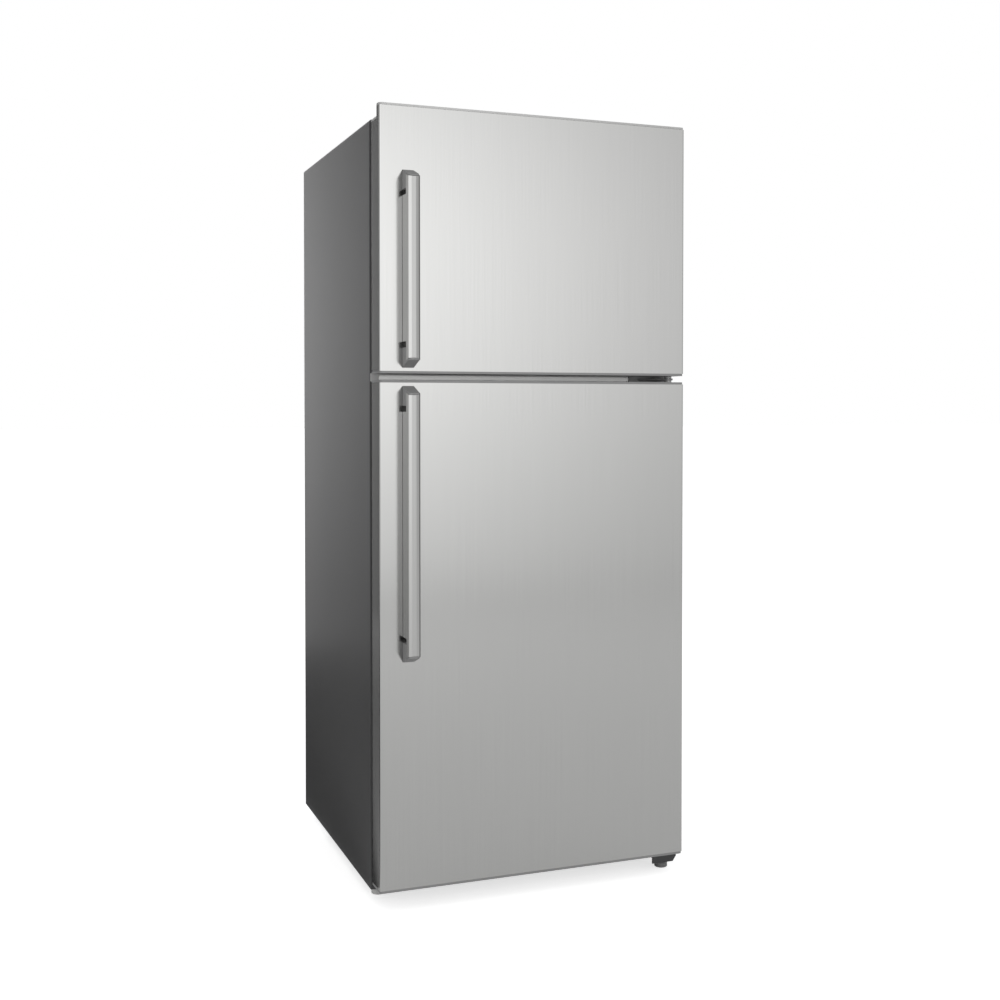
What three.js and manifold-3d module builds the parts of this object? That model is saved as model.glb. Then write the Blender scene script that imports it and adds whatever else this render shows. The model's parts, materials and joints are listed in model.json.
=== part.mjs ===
// A two-door refrigerator with the freezer on top, doors hinged on the right.
// Millimetres. X runs to the right, Z up from the floor, and Y back from the cabinet's front plane.
import * as THREE from "three";
import { mergeVertices } from "three/addons/utils/BufferGeometryUtils.js";
import Module from "manifold-3d";

const wasm = await Module();
wasm.setup();

// ---------- Driving dimensions ----------
const fit = 0.3; // between two pieces that touch
const running = 0.4; // round a pin or a shaft that turns

// cabinet
const width = 700;
const cabinetBottom = 26;
const cabinetTop = 1643;
const cabinetDepth = 640;
const cabinetSheet = 0.8;
const cabinetCorner = 6;
const sideWall = 50;
const topWall = 55;
const backWall = 55;
const mullionThickness = 55;
const freezerHeight = 455;
const linerWall = 2;
const linerFlange = 18;
const linerCorner = 18;
const fridgeFloor = 100;
const rearGroove = 4;

// machine space behind the lower rear of the refrigerator compartment
const deckBottom = 30;
const deckSheet = 1.2;
const machineHeight = 232;
const machineDepth = 200;
const stepWall = 50;
const stepBevel = 22;
const stepSlope = 16;
const plateSheet = 2;
const coverSheet = 1;
const coverRecess = 6;

// doors
const gasketGap = 14;
const doorThickness = 60;
const doorSheet = 0.8;
const doorCorner = 8;
const doorBottom = 42;
const doorRise = 20; // the freezer door's lip above the cabinet
const partingGap = 14;
const capPlate = 4.5;
const capSkirt = 8;
const lipDepth = 18;
const lipHeight = 25;
const capWall = 3;
const doorReturn = 12;
const dykeWidth = 28;
const dykeHeight = 35;
const dykeSideClearance = 9;
const dykeEndClearance = 8;
const dykeCorner = 16;
const gasketWidth = 18;
const gasketInset = 22;

// hinges
const axisInset = 20;
const axisDepth = 36;
const pinRadius = 5;
const pinReach = 22;
const collarRadius = 8;
const hingePlate = 3;
const bossWall = 5;

// handles
const handleInset = 49;
const handleWidth = 24;
const handleReach = 44;
const handleBarDepth = 18;
const handleSlant = 15.5;
const handleMountLength = 57;
const handleEndWall = 3;
const handleEdgeGap = 11.5; // from the parting of the doors to a handle's end
const freezerHandleLength = 405;
const fridgeHandleLength = 570;

// shelves, bins and drawer
const shelfThickness = 4;
const ledgeDepth = 8;
const ledgeHeight = 7;
const shelfFront = 100;
const binWall = 2;
const binReach = 160;
const lugSize = 7;
const lowerShelfDrop = 513; // below the refrigerator compartment's ceiling
const upperShelfDrop = 263;
const freezerShelfRise = 223; // above the freezer's floor
const lowerBinDrop = 598;
const upperBinDrop = 298;
const fridgeBinHeight = 90;
const bottleBinHeight = 132;
const freezerBinRise = 242;
const freezerBinHeight = 75;
const freezerLowBinHeight = 88;
const crisperHeight = 196;
const crisperSideGap = 12; // lets the drawer pass the open door's seal
const railHeight = 4;
const railSpacing = 400;
const railWidth = 12;

// feet and rollers
const footRadius = 14.5;
const footHeight = 13;
const stemRadius = 4;
const rightFootInset = 27;
const rightFootForward = 23;
const leftFootInset = 28;
const leftFootBack = 46;
const stemReach = 15; // of the left foot's screw above the bottom sheet
const rollerRadius = 13;
const rollerWidth = 20;
const rollerInset = 50;
const rollerBack = 40;
const axleRadius = 3;

// ---------- Derived places ----------
const halfWidth = width / 2;
const doorBack = -gasketGap;
const doorFront = doorBack - doorThickness;
const handleFront = doorFront - handleReach;
const axisX = halfWidth - axisInset;
const axisY = doorFront + axisDepth;
const inside = halfWidth - sideWall;
const freezerTop = cabinetTop - topWall;
const freezerFloor = freezerTop - freezerHeight;
const doorParting = freezerFloor - mullionThickness / 2;
const fridgeTop = doorParting - mullionThickness / 2;
const doorTop = cabinetTop + doorRise;
const rear = cabinetDepth - backWall;
const machineTop = deckBottom + machineHeight;
const stepTop = machineTop + stepWall;
const riserFoot = cabinetDepth - machineDepth;
const panelRear = cabinetDepth - cabinetSheet;
const innerHalf = halfWidth - cabinetSheet - fit;
const flangeInner = inside + linerFlange + fit;
const shelfLevels = [fridgeTop - lowerShelfDrop, fridgeTop - upperShelfDrop];
const freezerShelfLevel = freezerFloor + freezerShelfRise;
const rightFoot = { x: halfWidth - rightFootInset, y: -rightFootForward };
const leftFoot = { x: -halfWidth + leftFootInset, y: leftFootBack };
const leftStemTop = deckBottom + stemReach;
const rollerX = halfWidth - rollerInset;
const rollerY = cabinetDepth - rollerBack;

// ---------- Solids from three.js geometry ----------
function toSolid(geometry) {
  const bare = geometry.clone();
  bare.deleteAttribute("normal");
  bare.deleteAttribute("uv");
  const merged = mergeVertices(bare, 1e-4);
  const triangles = [];
  for (let i = 0; i < merged.index.count; i += 3) {
    const [a, b, c] = merged.index.array.slice(i, i + 3);
    if (a !== b && b !== c && c !== a) triangles.push(a, b, c);
  }
  const build = (triVerts) =>
    new wasm.Manifold(
      new wasm.Mesh({
        numProp: 3,
        vertProperties: Float32Array.from(merged.attributes.position.array),
        triVerts: Uint32Array.from(triVerts),
      }),
    );
  const solid = build(triangles);
  return solid.volume() < 0 ? build(triangles.reverse()) : solid;
}

function toGeometry(solid) {
  const mesh = solid.getMesh();
  const geometry = new THREE.BufferGeometry();
  geometry.setAttribute("position", new THREE.BufferAttribute(mesh.vertProperties, 3));
  geometry.setIndex(new THREE.BufferAttribute(mesh.triVerts, 1));
  const flat = geometry.toNonIndexed();
  flat.computeVertexNormals();
  return flat;
}

const join = (first, ...others) => others.reduce((all, next) => all.add(next), first);
const cut = (first, ...others) => others.reduce((left, next) => left.subtract(next), first);

function block([x0, x1], [y0, y1], [z0, z1]) {
  const box = new THREE.BoxGeometry(x1 - x0, y1 - y0, z1 - z0);
  return toSolid(box.translate((x0 + x1) / 2, (y0 + y1) / 2, (z0 + z1) / 2));
}

// A flat outline carried along an axis: (y, z) points along x, (x, z) points along y, (x, y) along z.
function prism(axis, outline, from, to) {
  const shape = new THREE.Shape(outline.map(([a, b]) => new THREE.Vector2(a, b)));
  const geometry = new THREE.ExtrudeGeometry(shape, { depth: to - from, bevelEnabled: false });
  const x = new THREE.Vector3(1, 0, 0);
  const y = new THREE.Vector3(0, 1, 0);
  const z = new THREE.Vector3(0, 0, 1);
  const frames = {
    x: [y, z, x, from],
    y: [x, z, y.clone().negate(), -to],
    z: [x, y, z, from],
  };
  const [a, b, c, shift] = frames[axis];
  geometry.translate(0, 0, shift);
  return toSolid(geometry.applyMatrix4(new THREE.Matrix4().makeBasis(a, b, c)));
}

// Turns the Y axis of a round geometry to the named one.
function along(axis, geometry) {
  if (axis === "x") return geometry.rotateZ(-Math.PI / 2);
  if (axis === "z") return geometry.rotateX(Math.PI / 2);
  return geometry;
}

function rod(axis, [x, y, z], radius, from, to, sides = 16) {
  const geometry = new THREE.CylinderGeometry(radius, radius, to - from, sides);
  geometry.translate(0, (from + to) / 2, 0);
  return toSolid(along(axis, geometry).translate(x, y, z));
}

// A profile of (radius, distance along the axis) points turned about a line through a point.
function turned(axis, profile, [x, y, z], sides = 16) {
  const points = profile.map(([r, height]) => new THREE.Vector2(r, height));
  return toSolid(along(axis, new THREE.LatheGeometry(points, sides)).translate(x, y, z));
}

// A skin through rings of equal count, closed by flat convex ends.
function loft(rings) {
  const count = rings[0].length;
  const positions = rings.flat(2);
  const index = [];
  for (let ring = 0; ring + 1 < rings.length; ring++) {
    for (let i = 0; i < count; i++) {
      const a = ring * count + i;
      const b = ring * count + ((i + 1) % count);
      index.push(a, b, b + count, a, b + count, a + count);
    }
  }
  const last = (rings.length - 1) * count;
  for (let i = 1; i + 1 < count; i++) {
    index.push(0, i + 1, i);
    index.push(last, last + i, last + i + 1);
  }
  const geometry = new THREE.BufferGeometry();
  geometry.setAttribute("position", new THREE.Float32BufferAttribute(positions, 3));
  geometry.setIndex(index);
  return toSolid(geometry);
}

// A round pipe of straight runs. Each ring is the last one, slid along its run to the next mitred joint.
function pipe(points, radius, sides = 6) {
  const path = points.map((point) => new THREE.Vector3(...point));
  const runs = path.slice(1).map((point, i) => point.clone().sub(path[i]).normalize());
  const aside = new THREE.Vector3(0, 1, 0);
  const across = new THREE.Vector3().crossVectors(aside, runs[0]);
  const start = arc(0, 0, radius, 0, 360, sides)
    .slice(1)
    .map(([a, b]) => path[0].clone().addScaledVector(aside, a).addScaledVector(across, b));
  const rings = [start];
  runs.forEach((run, i) => {
    const mitre = run.clone().add(runs[i + 1] ?? run);
    const slide = (point) => path[i + 1].clone().sub(point).dot(mitre) / run.dot(mitre);
    rings.push(rings[i].map((point) => point.clone().addScaledVector(run, slide(point))));
  });
  return loft(rings.map((ring) => ring.map((point) => point.toArray())));
}

// ---------- Outlines ----------
function arc(cx, cy, radius, fromDegrees, toDegrees, steps = 3) {
  return Array.from({ length: steps + 1 }, (_, i) => {
    const angle = THREE.MathUtils.degToRad(fromDegrees + ((toDegrees - fromDegrees) * i) / steps);
    return [cx + radius * Math.cos(angle), cy + radius * Math.sin(angle)];
  });
}

function rounded([x0, x1], [y0, y1], radius, steps = 3) {
  return [
    ...arc(x1 - radius, y0 + radius, radius, -90, 0, steps),
    ...arc(x1 - radius, y1 - radius, radius, 0, 90, steps),
    ...arc(x0 + radius, y1 - radius, radius, 90, 180, steps),
    ...arc(x0 + radius, y0 + radius, radius, 180, 270, steps),
  ];
}

// The path moved sideways by a distance, to its left when that is positive, with mitred corners.
function offsetPath(path, distance) {
  const normals = path.slice(1).map(([x, y], i) => {
    const dx = x - path[i][0];
    const dy = y - path[i][1];
    const length = Math.hypot(dx, dy);
    return [-dy / length, dx / length];
  });
  return path.map(([x, y], i) => {
    const a = normals[Math.max(i - 1, 0)];
    const b = normals[Math.min(i, normals.length - 1)];
    const scale = distance / (1 + a[0] * b[0] + a[1] * b[1]);
    return [x + (a[0] + b[0]) * scale, y + (a[1] + b[1]) * scale];
  });
}

// The path with each corner bent to a radius.
function bent(path, radius, steps = 3) {
  const points = path.map((point) => new THREE.Vector3(...point));
  const toward = (from, to) => from.clone().addScaledVector(to.clone().sub(from).normalize(), radius);
  const corners = points.slice(1, -1).map((corner, i) => {
    const [before, after] = [toward(corner, points[i]), toward(corner, points[i + 2])];
    const curve = new THREE.QuadraticBezierCurve3(before, corner, after);
    return curve.getPoints(steps).map((point) => point.toArray());
  });
  return [path[0], ...corners.flat(), path[path.length - 1]];
}

// The section of a bent sheet: a path and its offset, closed.
const bentSheet = (path, thickness) => [...path, ...offsetPath(path, thickness).reverse()];
const mirrored = (path) => [...path, ...path.map(([x, y]) => [-x, y]).reverse()];

// ---------- Materials and nodes ----------
const finishes = {
  stainless: { color: 0xb9b9b7, roughness: 0.3, metalness: 0.9 },
  aluminium: { color: 0xc6c7c8, roughness: 0.28, metalness: 1 },
  painted: { color: 0x4c4d4e, roughness: 0.45, metalness: 0.2 },
  zinc: { color: 0xa9abac, roughness: 0.45, metalness: 0.8 },
  darkPlastic: { color: 0x5a5b5c, roughness: 0.5, metalness: 0 },
  silverPlastic: { color: 0xb4b5b3, roughness: 0.45, metalness: 0.1 },
  whitePlastic: { color: 0xeeefed, roughness: 0.4, metalness: 0 },
  clearPlastic: { color: 0xdfe8ea, roughness: 0.15, metalness: 0, transparent: true, opacity: 0.45 },
  glass: { color: 0xd8ebe6, roughness: 0.05, metalness: 0, transparent: true, opacity: 0.35 },
  foam: { color: 0xe6d9a8, roughness: 0.9, metalness: 0 },
  rubber: { color: 0x6a6b6c, roughness: 0.75, metalness: 0 },
  blackPaint: { color: 0x17181a, roughness: 0.4, metalness: 0.3 },
  copper: { color: 0xb8704a, roughness: 0.35, metalness: 1 },
};

const refrigerator = new THREE.Group();
function add(name, solid, finish) {
  const mesh = new THREE.Mesh(toGeometry(solid), new THREE.MeshStandardMaterial(finishes[finish]));
  mesh.name = name;
  refrigerator.add(mesh);
}

// ---------- Cabinet ----------
function cabinetSection(inset) {
  const h = halfWidth - inset;
  const top = cabinetTop - inset;
  const r = Math.max(cabinetCorner - inset, 0.5);
  const bottom = cabinetBottom - (inset ? 10 : 0);
  return mirrored([[h, bottom], ...arc(h - r, top - r, r, 0, 90)]);
}

function cabinetShell() {
  const wrap = cut(
    prism("y", cabinetSection(0), 0, cabinetDepth),
    prism("y", cabinetSection(cabinetSheet), -1, cabinetDepth + 1),
  );
  const flange = cut(
    prism("y", cabinetSection(0), 0, cabinetSheet),
    block([-flangeInner, flangeInner], [-1, 2], [0, freezerTop + linerFlange + fit]),
    block([-width, width], [-1, 2], [0, fridgeFloor - linerFlange]),
    block([-innerHalf, innerHalf], [-1, 2], [mullionLow - fit, mullionHigh + fit]),
  );
  return join(wrap, flange);
}

// The rear sheet is stiffened by upright grooves.
function rearPath() {
  const half = innerHalf;
  const grooves = [-half / 2, 0, half / 2].flatMap((x) => [
    [x - 22, cabinetDepth],
    [x - 15, cabinetDepth - rearGroove],
    [x + 15, cabinetDepth - rearGroove],
    [x + 22, cabinetDepth],
  ]);
  return [[-half, cabinetDepth], ...grooves, [half, cabinetDepth]];
}

function rearPanel() {
  const sheet = prism("z", bentSheet(rearPath(), -cabinetSheet), machineTop, cabinetTop);
  return sheet.intersect(prism("y", cabinetSection(cabinetSheet + fit), 0, cabinetDepth + 1));
}

// One bent sheet closes the front foot of the cabinet, its bottom, and the step over the machine space.
function deckPath() {
  return [
    [0, fridgeFloor - linerFlange - fit],
    [0, deckBottom],
    [riserFoot, deckBottom],
    [riserFoot + stepSlope, machineTop - stepBevel],
    [riserFoot + stepSlope + stepBevel, machineTop],
    [panelRear - rearGroove - fit, machineTop],
  ];
}

function bottomDeck() {
  const sheet = prism("x", bentSheet(deckPath(), deckSheet), -innerHalf, innerHalf);
  const hole = rod("z", [leftFoot.x, leftFoot.y, 0], stemRadius + running, 0, fridgeFloor / 2);
  return cut(sheet, hole);
}

function freezerSpace(grow) {
  const outline = rounded(
    [-inside - grow, inside + grow],
    [freezerFloor - grow, freezerTop + grow],
    linerCorner + grow,
  );
  return prism("y", outline, 0, rear + grow);
}

function fridgeSpace(grow) {
  const outline = rounded(
    [-inside - grow, inside + grow],
    [fridgeFloor - grow, fridgeTop + grow],
    linerCorner + grow,
  );
  const stepFoot = riserFoot - stepWall;
  const step = offsetPath(
    [
      [-50, fridgeFloor],
      [stepFoot, fridgeFloor],
      [stepFoot + stepSlope, stepTop - stepBevel],
      [stepFoot + stepSlope + stepBevel, stepTop],
      [rear, stepTop],
      [rear, fridgeTop],
      [-50, fridgeTop],
    ],
    -grow,
  );
  return prism("y", outline, 0, rear + grow).intersect(prism("x", step, -halfWidth, halfWidth));
}

// A liner is the skin of its compartment, with a flat flange round the mouth.
function liner(space, floor, top, extras) {
  const skin = cut(space(linerWall), space(0).translate(0, -linerWall, 0), space(0));
  const flange = cut(
    block(
      [-inside - linerFlange, inside + linerFlange],
      [0, linerWall],
      [floor - linerFlange, top + linerFlange],
    ),
    space(0),
  );
  return join(skin, flange, ...extras);
}

// Ledges moulded on both side walls, under a shelf whose underside is at a level.
function ledges(level, from, to) {
  const zs = [level - fit - ledgeHeight, level - fit];
  return [
    block([-inside - linerWall / 2, -inside + ledgeDepth], [from, to], zs),
    block([inside - ledgeDepth, inside + linerWall / 2], [from, to], zs),
  ];
}

const freezerLiner = () =>
  liner(freezerSpace, freezerFloor, freezerTop, ledges(freezerShelfLevel, shelfFront, coverFront - 4));

function fridgeLiner() {
  const rails = [-1, 1].map((side) =>
    block(
      [(side * railSpacing - railWidth) / 2, (side * railSpacing + railWidth) / 2],
      [shelfFront + 8, riserFoot - stepWall - 12],
      [fridgeFloor - linerWall / 2, fridgeFloor + railHeight],
    ),
  );
  const shelfLedges = shelfLevels.flatMap((level) => ledges(level, shelfFront, ductFront - 6));
  const coverLedges = ledges(crisperCoverLevel, shelfFront, riserFoot - stepWall + stepSlope);
  return liner(fridgeSpace, fridgeFloor, fridgeTop, [...rails, ...shelfLedges, ...coverLedges]);
}

function insulationFoam() {
  const gap = linerWall + fit;
  const bottom = offsetPath(deckPath(), deckSheet + fit);
  const past = cabinetDepth + 9;
  const back = [
    [past, machineTop + deckSheet + fit],
    [past, cabinetTop],
  ];
  const front = [
    [gap, cabinetTop],
    [gap, fridgeFloor],
  ];
  const body = prism("x", [...bottom, ...back, ...front], -halfWidth, halfWidth);
  const inner = offsetPath(rearPath(), -cabinetSheet - fit);
  const behindPanel = prism("z", [...inner, [halfWidth, past], [-halfWidth, past]], 0, cabinetTop + 1);
  const insideShell = prism("y", cabinetSection(cabinetSheet + fit), gap, past);
  return cut(
    body.intersect(insideShell),
    behindPanel,
    freezerSpace(gap),
    fridgeSpace(gap),
    block([-halfWidth, halfWidth], [0, mullionLeg + fit], [mullionLow - fit, mullionHigh + fit]),
    rod("z", [leftFoot.x, leftFoot.y, 0], stemRadius + fit, 0, leftStemTop + fit),
  );
}

// The steel strip that both gaskets close on crosses the cabinet between the two liners' flanges.
const mullionLow = fridgeTop + linerFlange + fit;
const mullionHigh = freezerFloor - linerFlange - fit;
const mullionLeg = 20;
const mullionSheet = 1.5;
function mullionCover() {
  const path = [
    [mullionLeg, mullionLow],
    [0, mullionLow],
    [0, mullionHigh],
    [mullionLeg, mullionHigh],
  ];
  return prism("x", bentSheet(path, -mullionSheet), -innerHalf, innerHalf);
}

// ---------- Machine space ----------
const plateTop = deckBottom + plateSheet;
const compressorAt = { x: 70, y: riserFoot + 112 };
const compressorHeight = 168;
const compressorPlate = [105, 62]; // half its length and width
const potRadius = 72;
const potStretch = 1.28;
const weldRise = 87;
const weldFlange = 4;
const weldHeight = 7;
const stubRise = 70;
const stubReach = 20;
const stubRadius = 5;
const pipeRadius = 3.5;
const drierAside = 250;
const drierRadius = 10;
const drierLength = 88;
const compressorFoot = plateTop + fit + 12;
const compressorTop = compressorFoot + compressorHeight;
const coverRear = cabinetDepth - coverRecess;

// The plate between the cabinet's sides carries the compressor, and a forked bracket for each roller.
function basePlate() {
  const lipHeight = 12;
  const from = riserFoot + deckSheet + 8;
  const to = coverRear - coverSheet - fit;
  const path = [
    [from, deckBottom + lipHeight],
    [from, deckBottom],
    [to, deckBottom],
    [to, deckBottom + lipHeight],
  ];
  const tray = prism("x", bentSheet(path, plateSheet), -innerHalf, innerHalf);
  const ear = rollerWidth / 2 + fit + plateSheet;
  const forks = [-rollerX, rollerX].flatMap((x) => [
    ...[-1, 1].map((side) =>
      prism(
        "x",
        [
          [rollerY - 12, deckBottom + 1],
          [rollerY - 8, rollerRadius - 5],
          [rollerY + 8, rollerRadius - 5],
          [rollerY + 12, deckBottom + 1],
        ],
        x + (side > 0 ? ear - plateSheet : -ear),
        x + (side > 0 ? ear : plateSheet - ear),
      ),
    ),
    rod("x", [0, rollerY, rollerRadius], axleRadius, x - ear - 1.5, x + ear + 1.5, 12),
  ]);
  return join(tray, ...forks);
}

// A hermetic pot: two drawn halves meet at a weld flange, on a plate with four rubber feet.
function compressor() {
  const { x, y } = compressorAt;
  const base = compressorFoot;
  const r = potRadius;
  const weld = base + weldRise;
  const profile = [
    [0, base + 4],
    [r - 20, base + 6],
    [r - 6, base + 14],
    [r, base + 30],
    [r, weld],
    [r + weldFlange, weld + 1],
    [r + weldFlange, weld + weldHeight],
    [r - 1, weld + weldHeight + 1],
    [r - 2, compressorTop - 37],
    [r - 10, compressorTop - 13],
    [r - 28, compressorTop - 2],
    [0, compressorTop],
  ];
  const pot = turned("z", profile, [0, 0, 0], 20).scale([potStretch, 1, 1]).translate(x, y, 0);
  const [halfLong, halfWide] = compressorPlate;
  const outline = rounded([x - halfLong, x + halfLong], [y - halfWide, y + halfWide], 16);
  const plate = prism("z", outline, base, base + 5);
  const feet = [15 - halfLong, halfLong - 15].flatMap((dx) =>
    [14 - halfWide, halfWide - 14].map((dy) =>
      rod("z", [x + dx, y + dy, 0], 10, plateTop + fit, base + 1, 10),
    ),
  );
  const end = r * potStretch;
  const terminals = block([x + end - 8, x + end + 20], [y - 24, y + 24], [base + 55, base + 105]);
  const stub = rod("x", [0, y, base + stubRise], stubRadius, x - end - stubReach, x - end + 7, 10);
  return join(pot, plate, ...feet, terminals, stub);
}

// Discharge pipe with its filter drier, from the compressor's stub to the deck.
function refrigerantPipe() {
  const { x, y } = compressorAt;
  const start = x - potRadius * potStretch - stubReach - fit;
  const z = compressorFoot + stubRise;
  const low = compressorFoot + 10;
  const drierX = x - drierAside;
  const route = [
    [start, y, z],
    [start - 40, y, z],
    [start - 40, y, low],
    [drierX, y, low],
    [drierX, y, machineTop - fit],
  ];
  const profile = [
    [0, 0],
    [pipeRadius + 0.5, 2],
    [drierRadius, 14],
    [drierRadius, drierLength - 14],
    [pipeRadius + 0.5, drierLength - 2],
    [0, drierLength],
  ];
  return join(pipe(bent(route, 14), pipeRadius), turned("z", profile, [drierX, y, z - 22], 12));
}

// A shallow tray on the compressor's top, where its warmth dries the defrost water.
function drainPan() {
  const { x, y } = compressorAt;
  const bottom = compressorTop + fit;
  const ring = (grow, z) =>
    rounded([x - 70 - grow, x + 70 + grow], [y - 44 - grow, y + 44 + grow], 14).map(([a, b]) => [a, b, z]);
  return cut(
    loft([ring(0, bottom), ring(6, bottom + 26)]),
    loft([ring(-1.8, bottom + 1.8), ring(4.4, bottom + 27)]),
  );
}

const glandAt = { x: -halfWidth + 110, z: deckBottom + 40 };
const glandRadius = 8;
function compressorCover() {
  const plate = prism(
    "y",
    rounded([-innerHalf, innerHalf], [deckBottom + 4, machineTop - 2], 8),
    coverRear - coverSheet,
    coverRear,
  );
  const slotLength = 66;
  const slots = [];
  for (const x of [-110, 0, 110]) {
    for (let row = 0; row < 9; row++) {
      const z = deckBottom + 64 + row * 17;
      const span = [x - slotLength / 2, x + slotLength / 2];
      slots.push(block(span, [coverRear - 9, coverRear + 9], [z - 3, z + 3]));
    }
  }
  const glandHole = rod("y", [glandAt.x, 0, glandAt.z], glandRadius, coverRear - 9, coverRear + 9);
  return cut(plate, ...slots, glandHole);
}

// The grommet that a supply cord would pass through.
function cordGland() {
  const at = [glandAt.x, 0, glandAt.z];
  const neck = rod("y", at, glandRadius - fit, coverRear - 6, coverRear + 3, 14);
  const outer = rod("y", at, glandRadius + 4, coverRear + fit, coverRear + 4, 14);
  const inner = rod("y", at, glandRadius + 3, coverRear - 6, coverRear - coverSheet - fit, 14);
  return cut(join(neck, outer, inner), rod("y", at, 4, coverRear - 9, coverRear + 9, 10));
}

// ---------- Freezer compartment ----------
const coverFront = rear - 68;
const coverPlate = 2.5;
const coilPasses = 6;
const coilPitch = 38;
const coilHalf = 210;
const coilRadius = 4;
const fanAt = { x: 0, z: freezerTop - 80 };
const fanRadius = 46;
const fanFront = coverFront + coverPlate + 8;
const motorFront = fanFront + 22;

// One aluminium tube in a flat serpentine, carried by upright sheets.
function evaporatorCoil() {
  const y = rear - 30;
  const low = freezerFloor + 34;
  const top = low + (coilPasses - 1) * coilPitch;
  const bends = Array.from({ length: coilPasses - 1 }, (_, i) => {
    const side = i % 2 ? -1 : 1;
    const middle = low + (i + 0.5) * coilPitch;
    return arc(coilHalf, middle, coilPitch / 2, -90, 90, 4).map(([x, z]) => [side * x, y, z]);
  });
  const lastSide = coilPasses % 2 ? 1 : -1;
  const tube = pipe([[-coilHalf, y, low], ...bends.flat(), [lastSide * coilHalf, y, top]], coilRadius);
  const sheets = [-1, -1 / 3, 1 / 3, 1].map((share) => {
    const x = share * (coilHalf - 15);
    return block([x - 0.6, x + 0.6], [rear - 58, rear - fit], [low - 14, top + 14]);
  });
  return join(tube, ...sheets);
}

function evaporatorCover() {
  const outline = rounded(
    [-inside + fit, inside - fit],
    [freezerFloor + fit, freezerTop - fit],
    linerCorner - fit,
  );
  const plate = prism("y", outline, coverFront, coverFront + coverPlate);
  const ribs = [-150, 150].map((x) =>
    block([x - 3, x + 3], [coverFront - 4, coverFront + 1], [freezerFloor + 60, fanAt.z - 70]),
  );
  const outlets = [];
  for (let row = -3; row <= 3; row++) {
    const z = fanAt.z + row * 13;
    const half = Math.sqrt(fanRadius ** 2 - (row * 13) ** 2) + 4;
    const slot = rounded([fanAt.x - half, fanAt.x + half], [z - 3.5, z + 3.5], 3, 1);
    outlets.push(prism("y", slot, coverFront - 9, coverFront + 9));
  }
  const returns = [-200, -100, 0, 100, 200].map((x) =>
    prism(
      "y",
      rounded([x - 38, x + 38], [freezerFloor + 16, freezerFloor + 24], 3, 1),
      coverFront - 9,
      coverFront + 9,
    ),
  );
  return cut(join(plate, ...ribs), ...outlets, ...returns);
}

// Motor can on a three-legged bracket that stands on the liner's rear wall.
function fanMotor() {
  const at = [fanAt.x, 0, fanAt.z];
  const can = rod("y", at, 20, motorFront, motorFront + 20, 20);
  const legs = [90, 210, 330].map((degrees) => {
    const angle = THREE.MathUtils.degToRad(degrees);
    const x = fanAt.x + 24 * Math.cos(angle);
    const z = fanAt.z + 24 * Math.sin(angle);
    return join(
      block([x - 5, x + 5], [motorFront + 12, rear - fit], [z - 5, z + 5]),
      rod("y", [(x + fanAt.x) / 2, 0, (z + fanAt.z) / 2], 9, motorFront + 12, motorFront + 18, 10),
    );
  });
  return cut(join(can, ...legs), rod("y", at, 2 + running, motorFront - 1, motorFront + 12, 12));
}

// Five pitched blades on a hub, with the shaft that runs in the motor.
function evaporatorFan() {
  const at = [fanAt.x, 0, fanAt.z];
  const hub = rod("y", at, 14, fanFront, motorFront - 1, 20);
  const shaft = rod("y", at, 2, motorFront - 2, motorFront + 11, 12);
  const blades = Array.from({ length: 5 }, (_, i) => {
    const rings = Array.from({ length: 4 }, (_, k) => {
      const radius = 12 + ((fanRadius - 12) * k) / 3;
      const chord = 13 + 4.5 * k;
      const pitch = THREE.MathUtils.degToRad(52 - 8 * k);
      const sweep = THREE.MathUtils.degToRad(4 * k);
      return [
        [-0.5, -0.6],
        [0.5, -0.6],
        [0.5, 0.6],
        [-0.5, 0.6],
      ].map(([u, t]) => {
        const along = u * chord;
        const tangent = along * Math.cos(pitch) - t * Math.sin(pitch);
        const depth = along * Math.sin(pitch) * 0.8 + t * Math.cos(pitch);
        const angle = (2 * Math.PI * i) / 5 + sweep + tangent / radius;
        return [
          fanAt.x + radius * Math.cos(angle),
          (fanFront + motorFront - 1) / 2 + depth,
          fanAt.z + radius * Math.sin(angle),
        ];
      });
    });
    return loft(rings);
  });
  return join(hub, shaft, ...blades);
}

// Wire shelf: thin bars across two stout ones and a front rail.
function freezerShelf() {
  const half = inside - 3;
  const z = freezerShelfLevel;
  const from = shelfFront + 4;
  const to = coverFront - 12;
  const rails = [from, (from + to) / 2, to].map((y) => rod("x", [0, y, z + 3], 3, -half, half, 6));
  const wires = Array.from({ length: 13 }, (_, i) =>
    rod("y", [-half + 12 + (i * (2 * half - 24)) / 12, 0, z + 6.5], 1.6, from - 3, to + 3, 5),
  );
  return join(...rails, ...wires);
}

const shelfTop = freezerShelfLevel + 8.1 + fit;
const iceFrameX = [-inside + 14, -inside + 138];
const iceFrameY = [shelfFront + 40, shelfFront + 300];
const iceWall = 2.5;
const iceAxis = { x: (iceFrameX[0] + iceFrameX[1]) / 2, z: shelfTop + 96 };
const trayHalf = 44;
const trayFlare = 8;
const trayHigh = 10; // its rim above the axis
const trayLow = 18; // its floor below the axis
const trayPivot = 5;
const trayRows = 4;

// An open-fronted frame on the shelf. Its lower part keeps the ice, and the tray turns above it.
function iceFrame() {
  const [x0, x1] = iceFrameX;
  const [y0, y1] = iceFrameY;
  const top = iceAxis.z + trayLow;
  const inner = [
    [x0 + iceWall, x1 - iceWall],
    [y0 + iceWall, y1 - iceWall],
  ];
  return cut(
    prism("y", rounded([x0, x1], [shelfTop, top + 30], 8), y0, y1),
    prism("y", rounded(inner[0], [shelfTop + iceWall, top + 40], 6), ...inner[1]),
    block([x0 - 1, x1 + 1], [y0 - 1, y1 + 1], [top, top + 60]),
    rod("y", [iceAxis.x, 0, iceAxis.z], trayPivot + running, y0 - 5, y1 + 5),
  );
}

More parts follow.
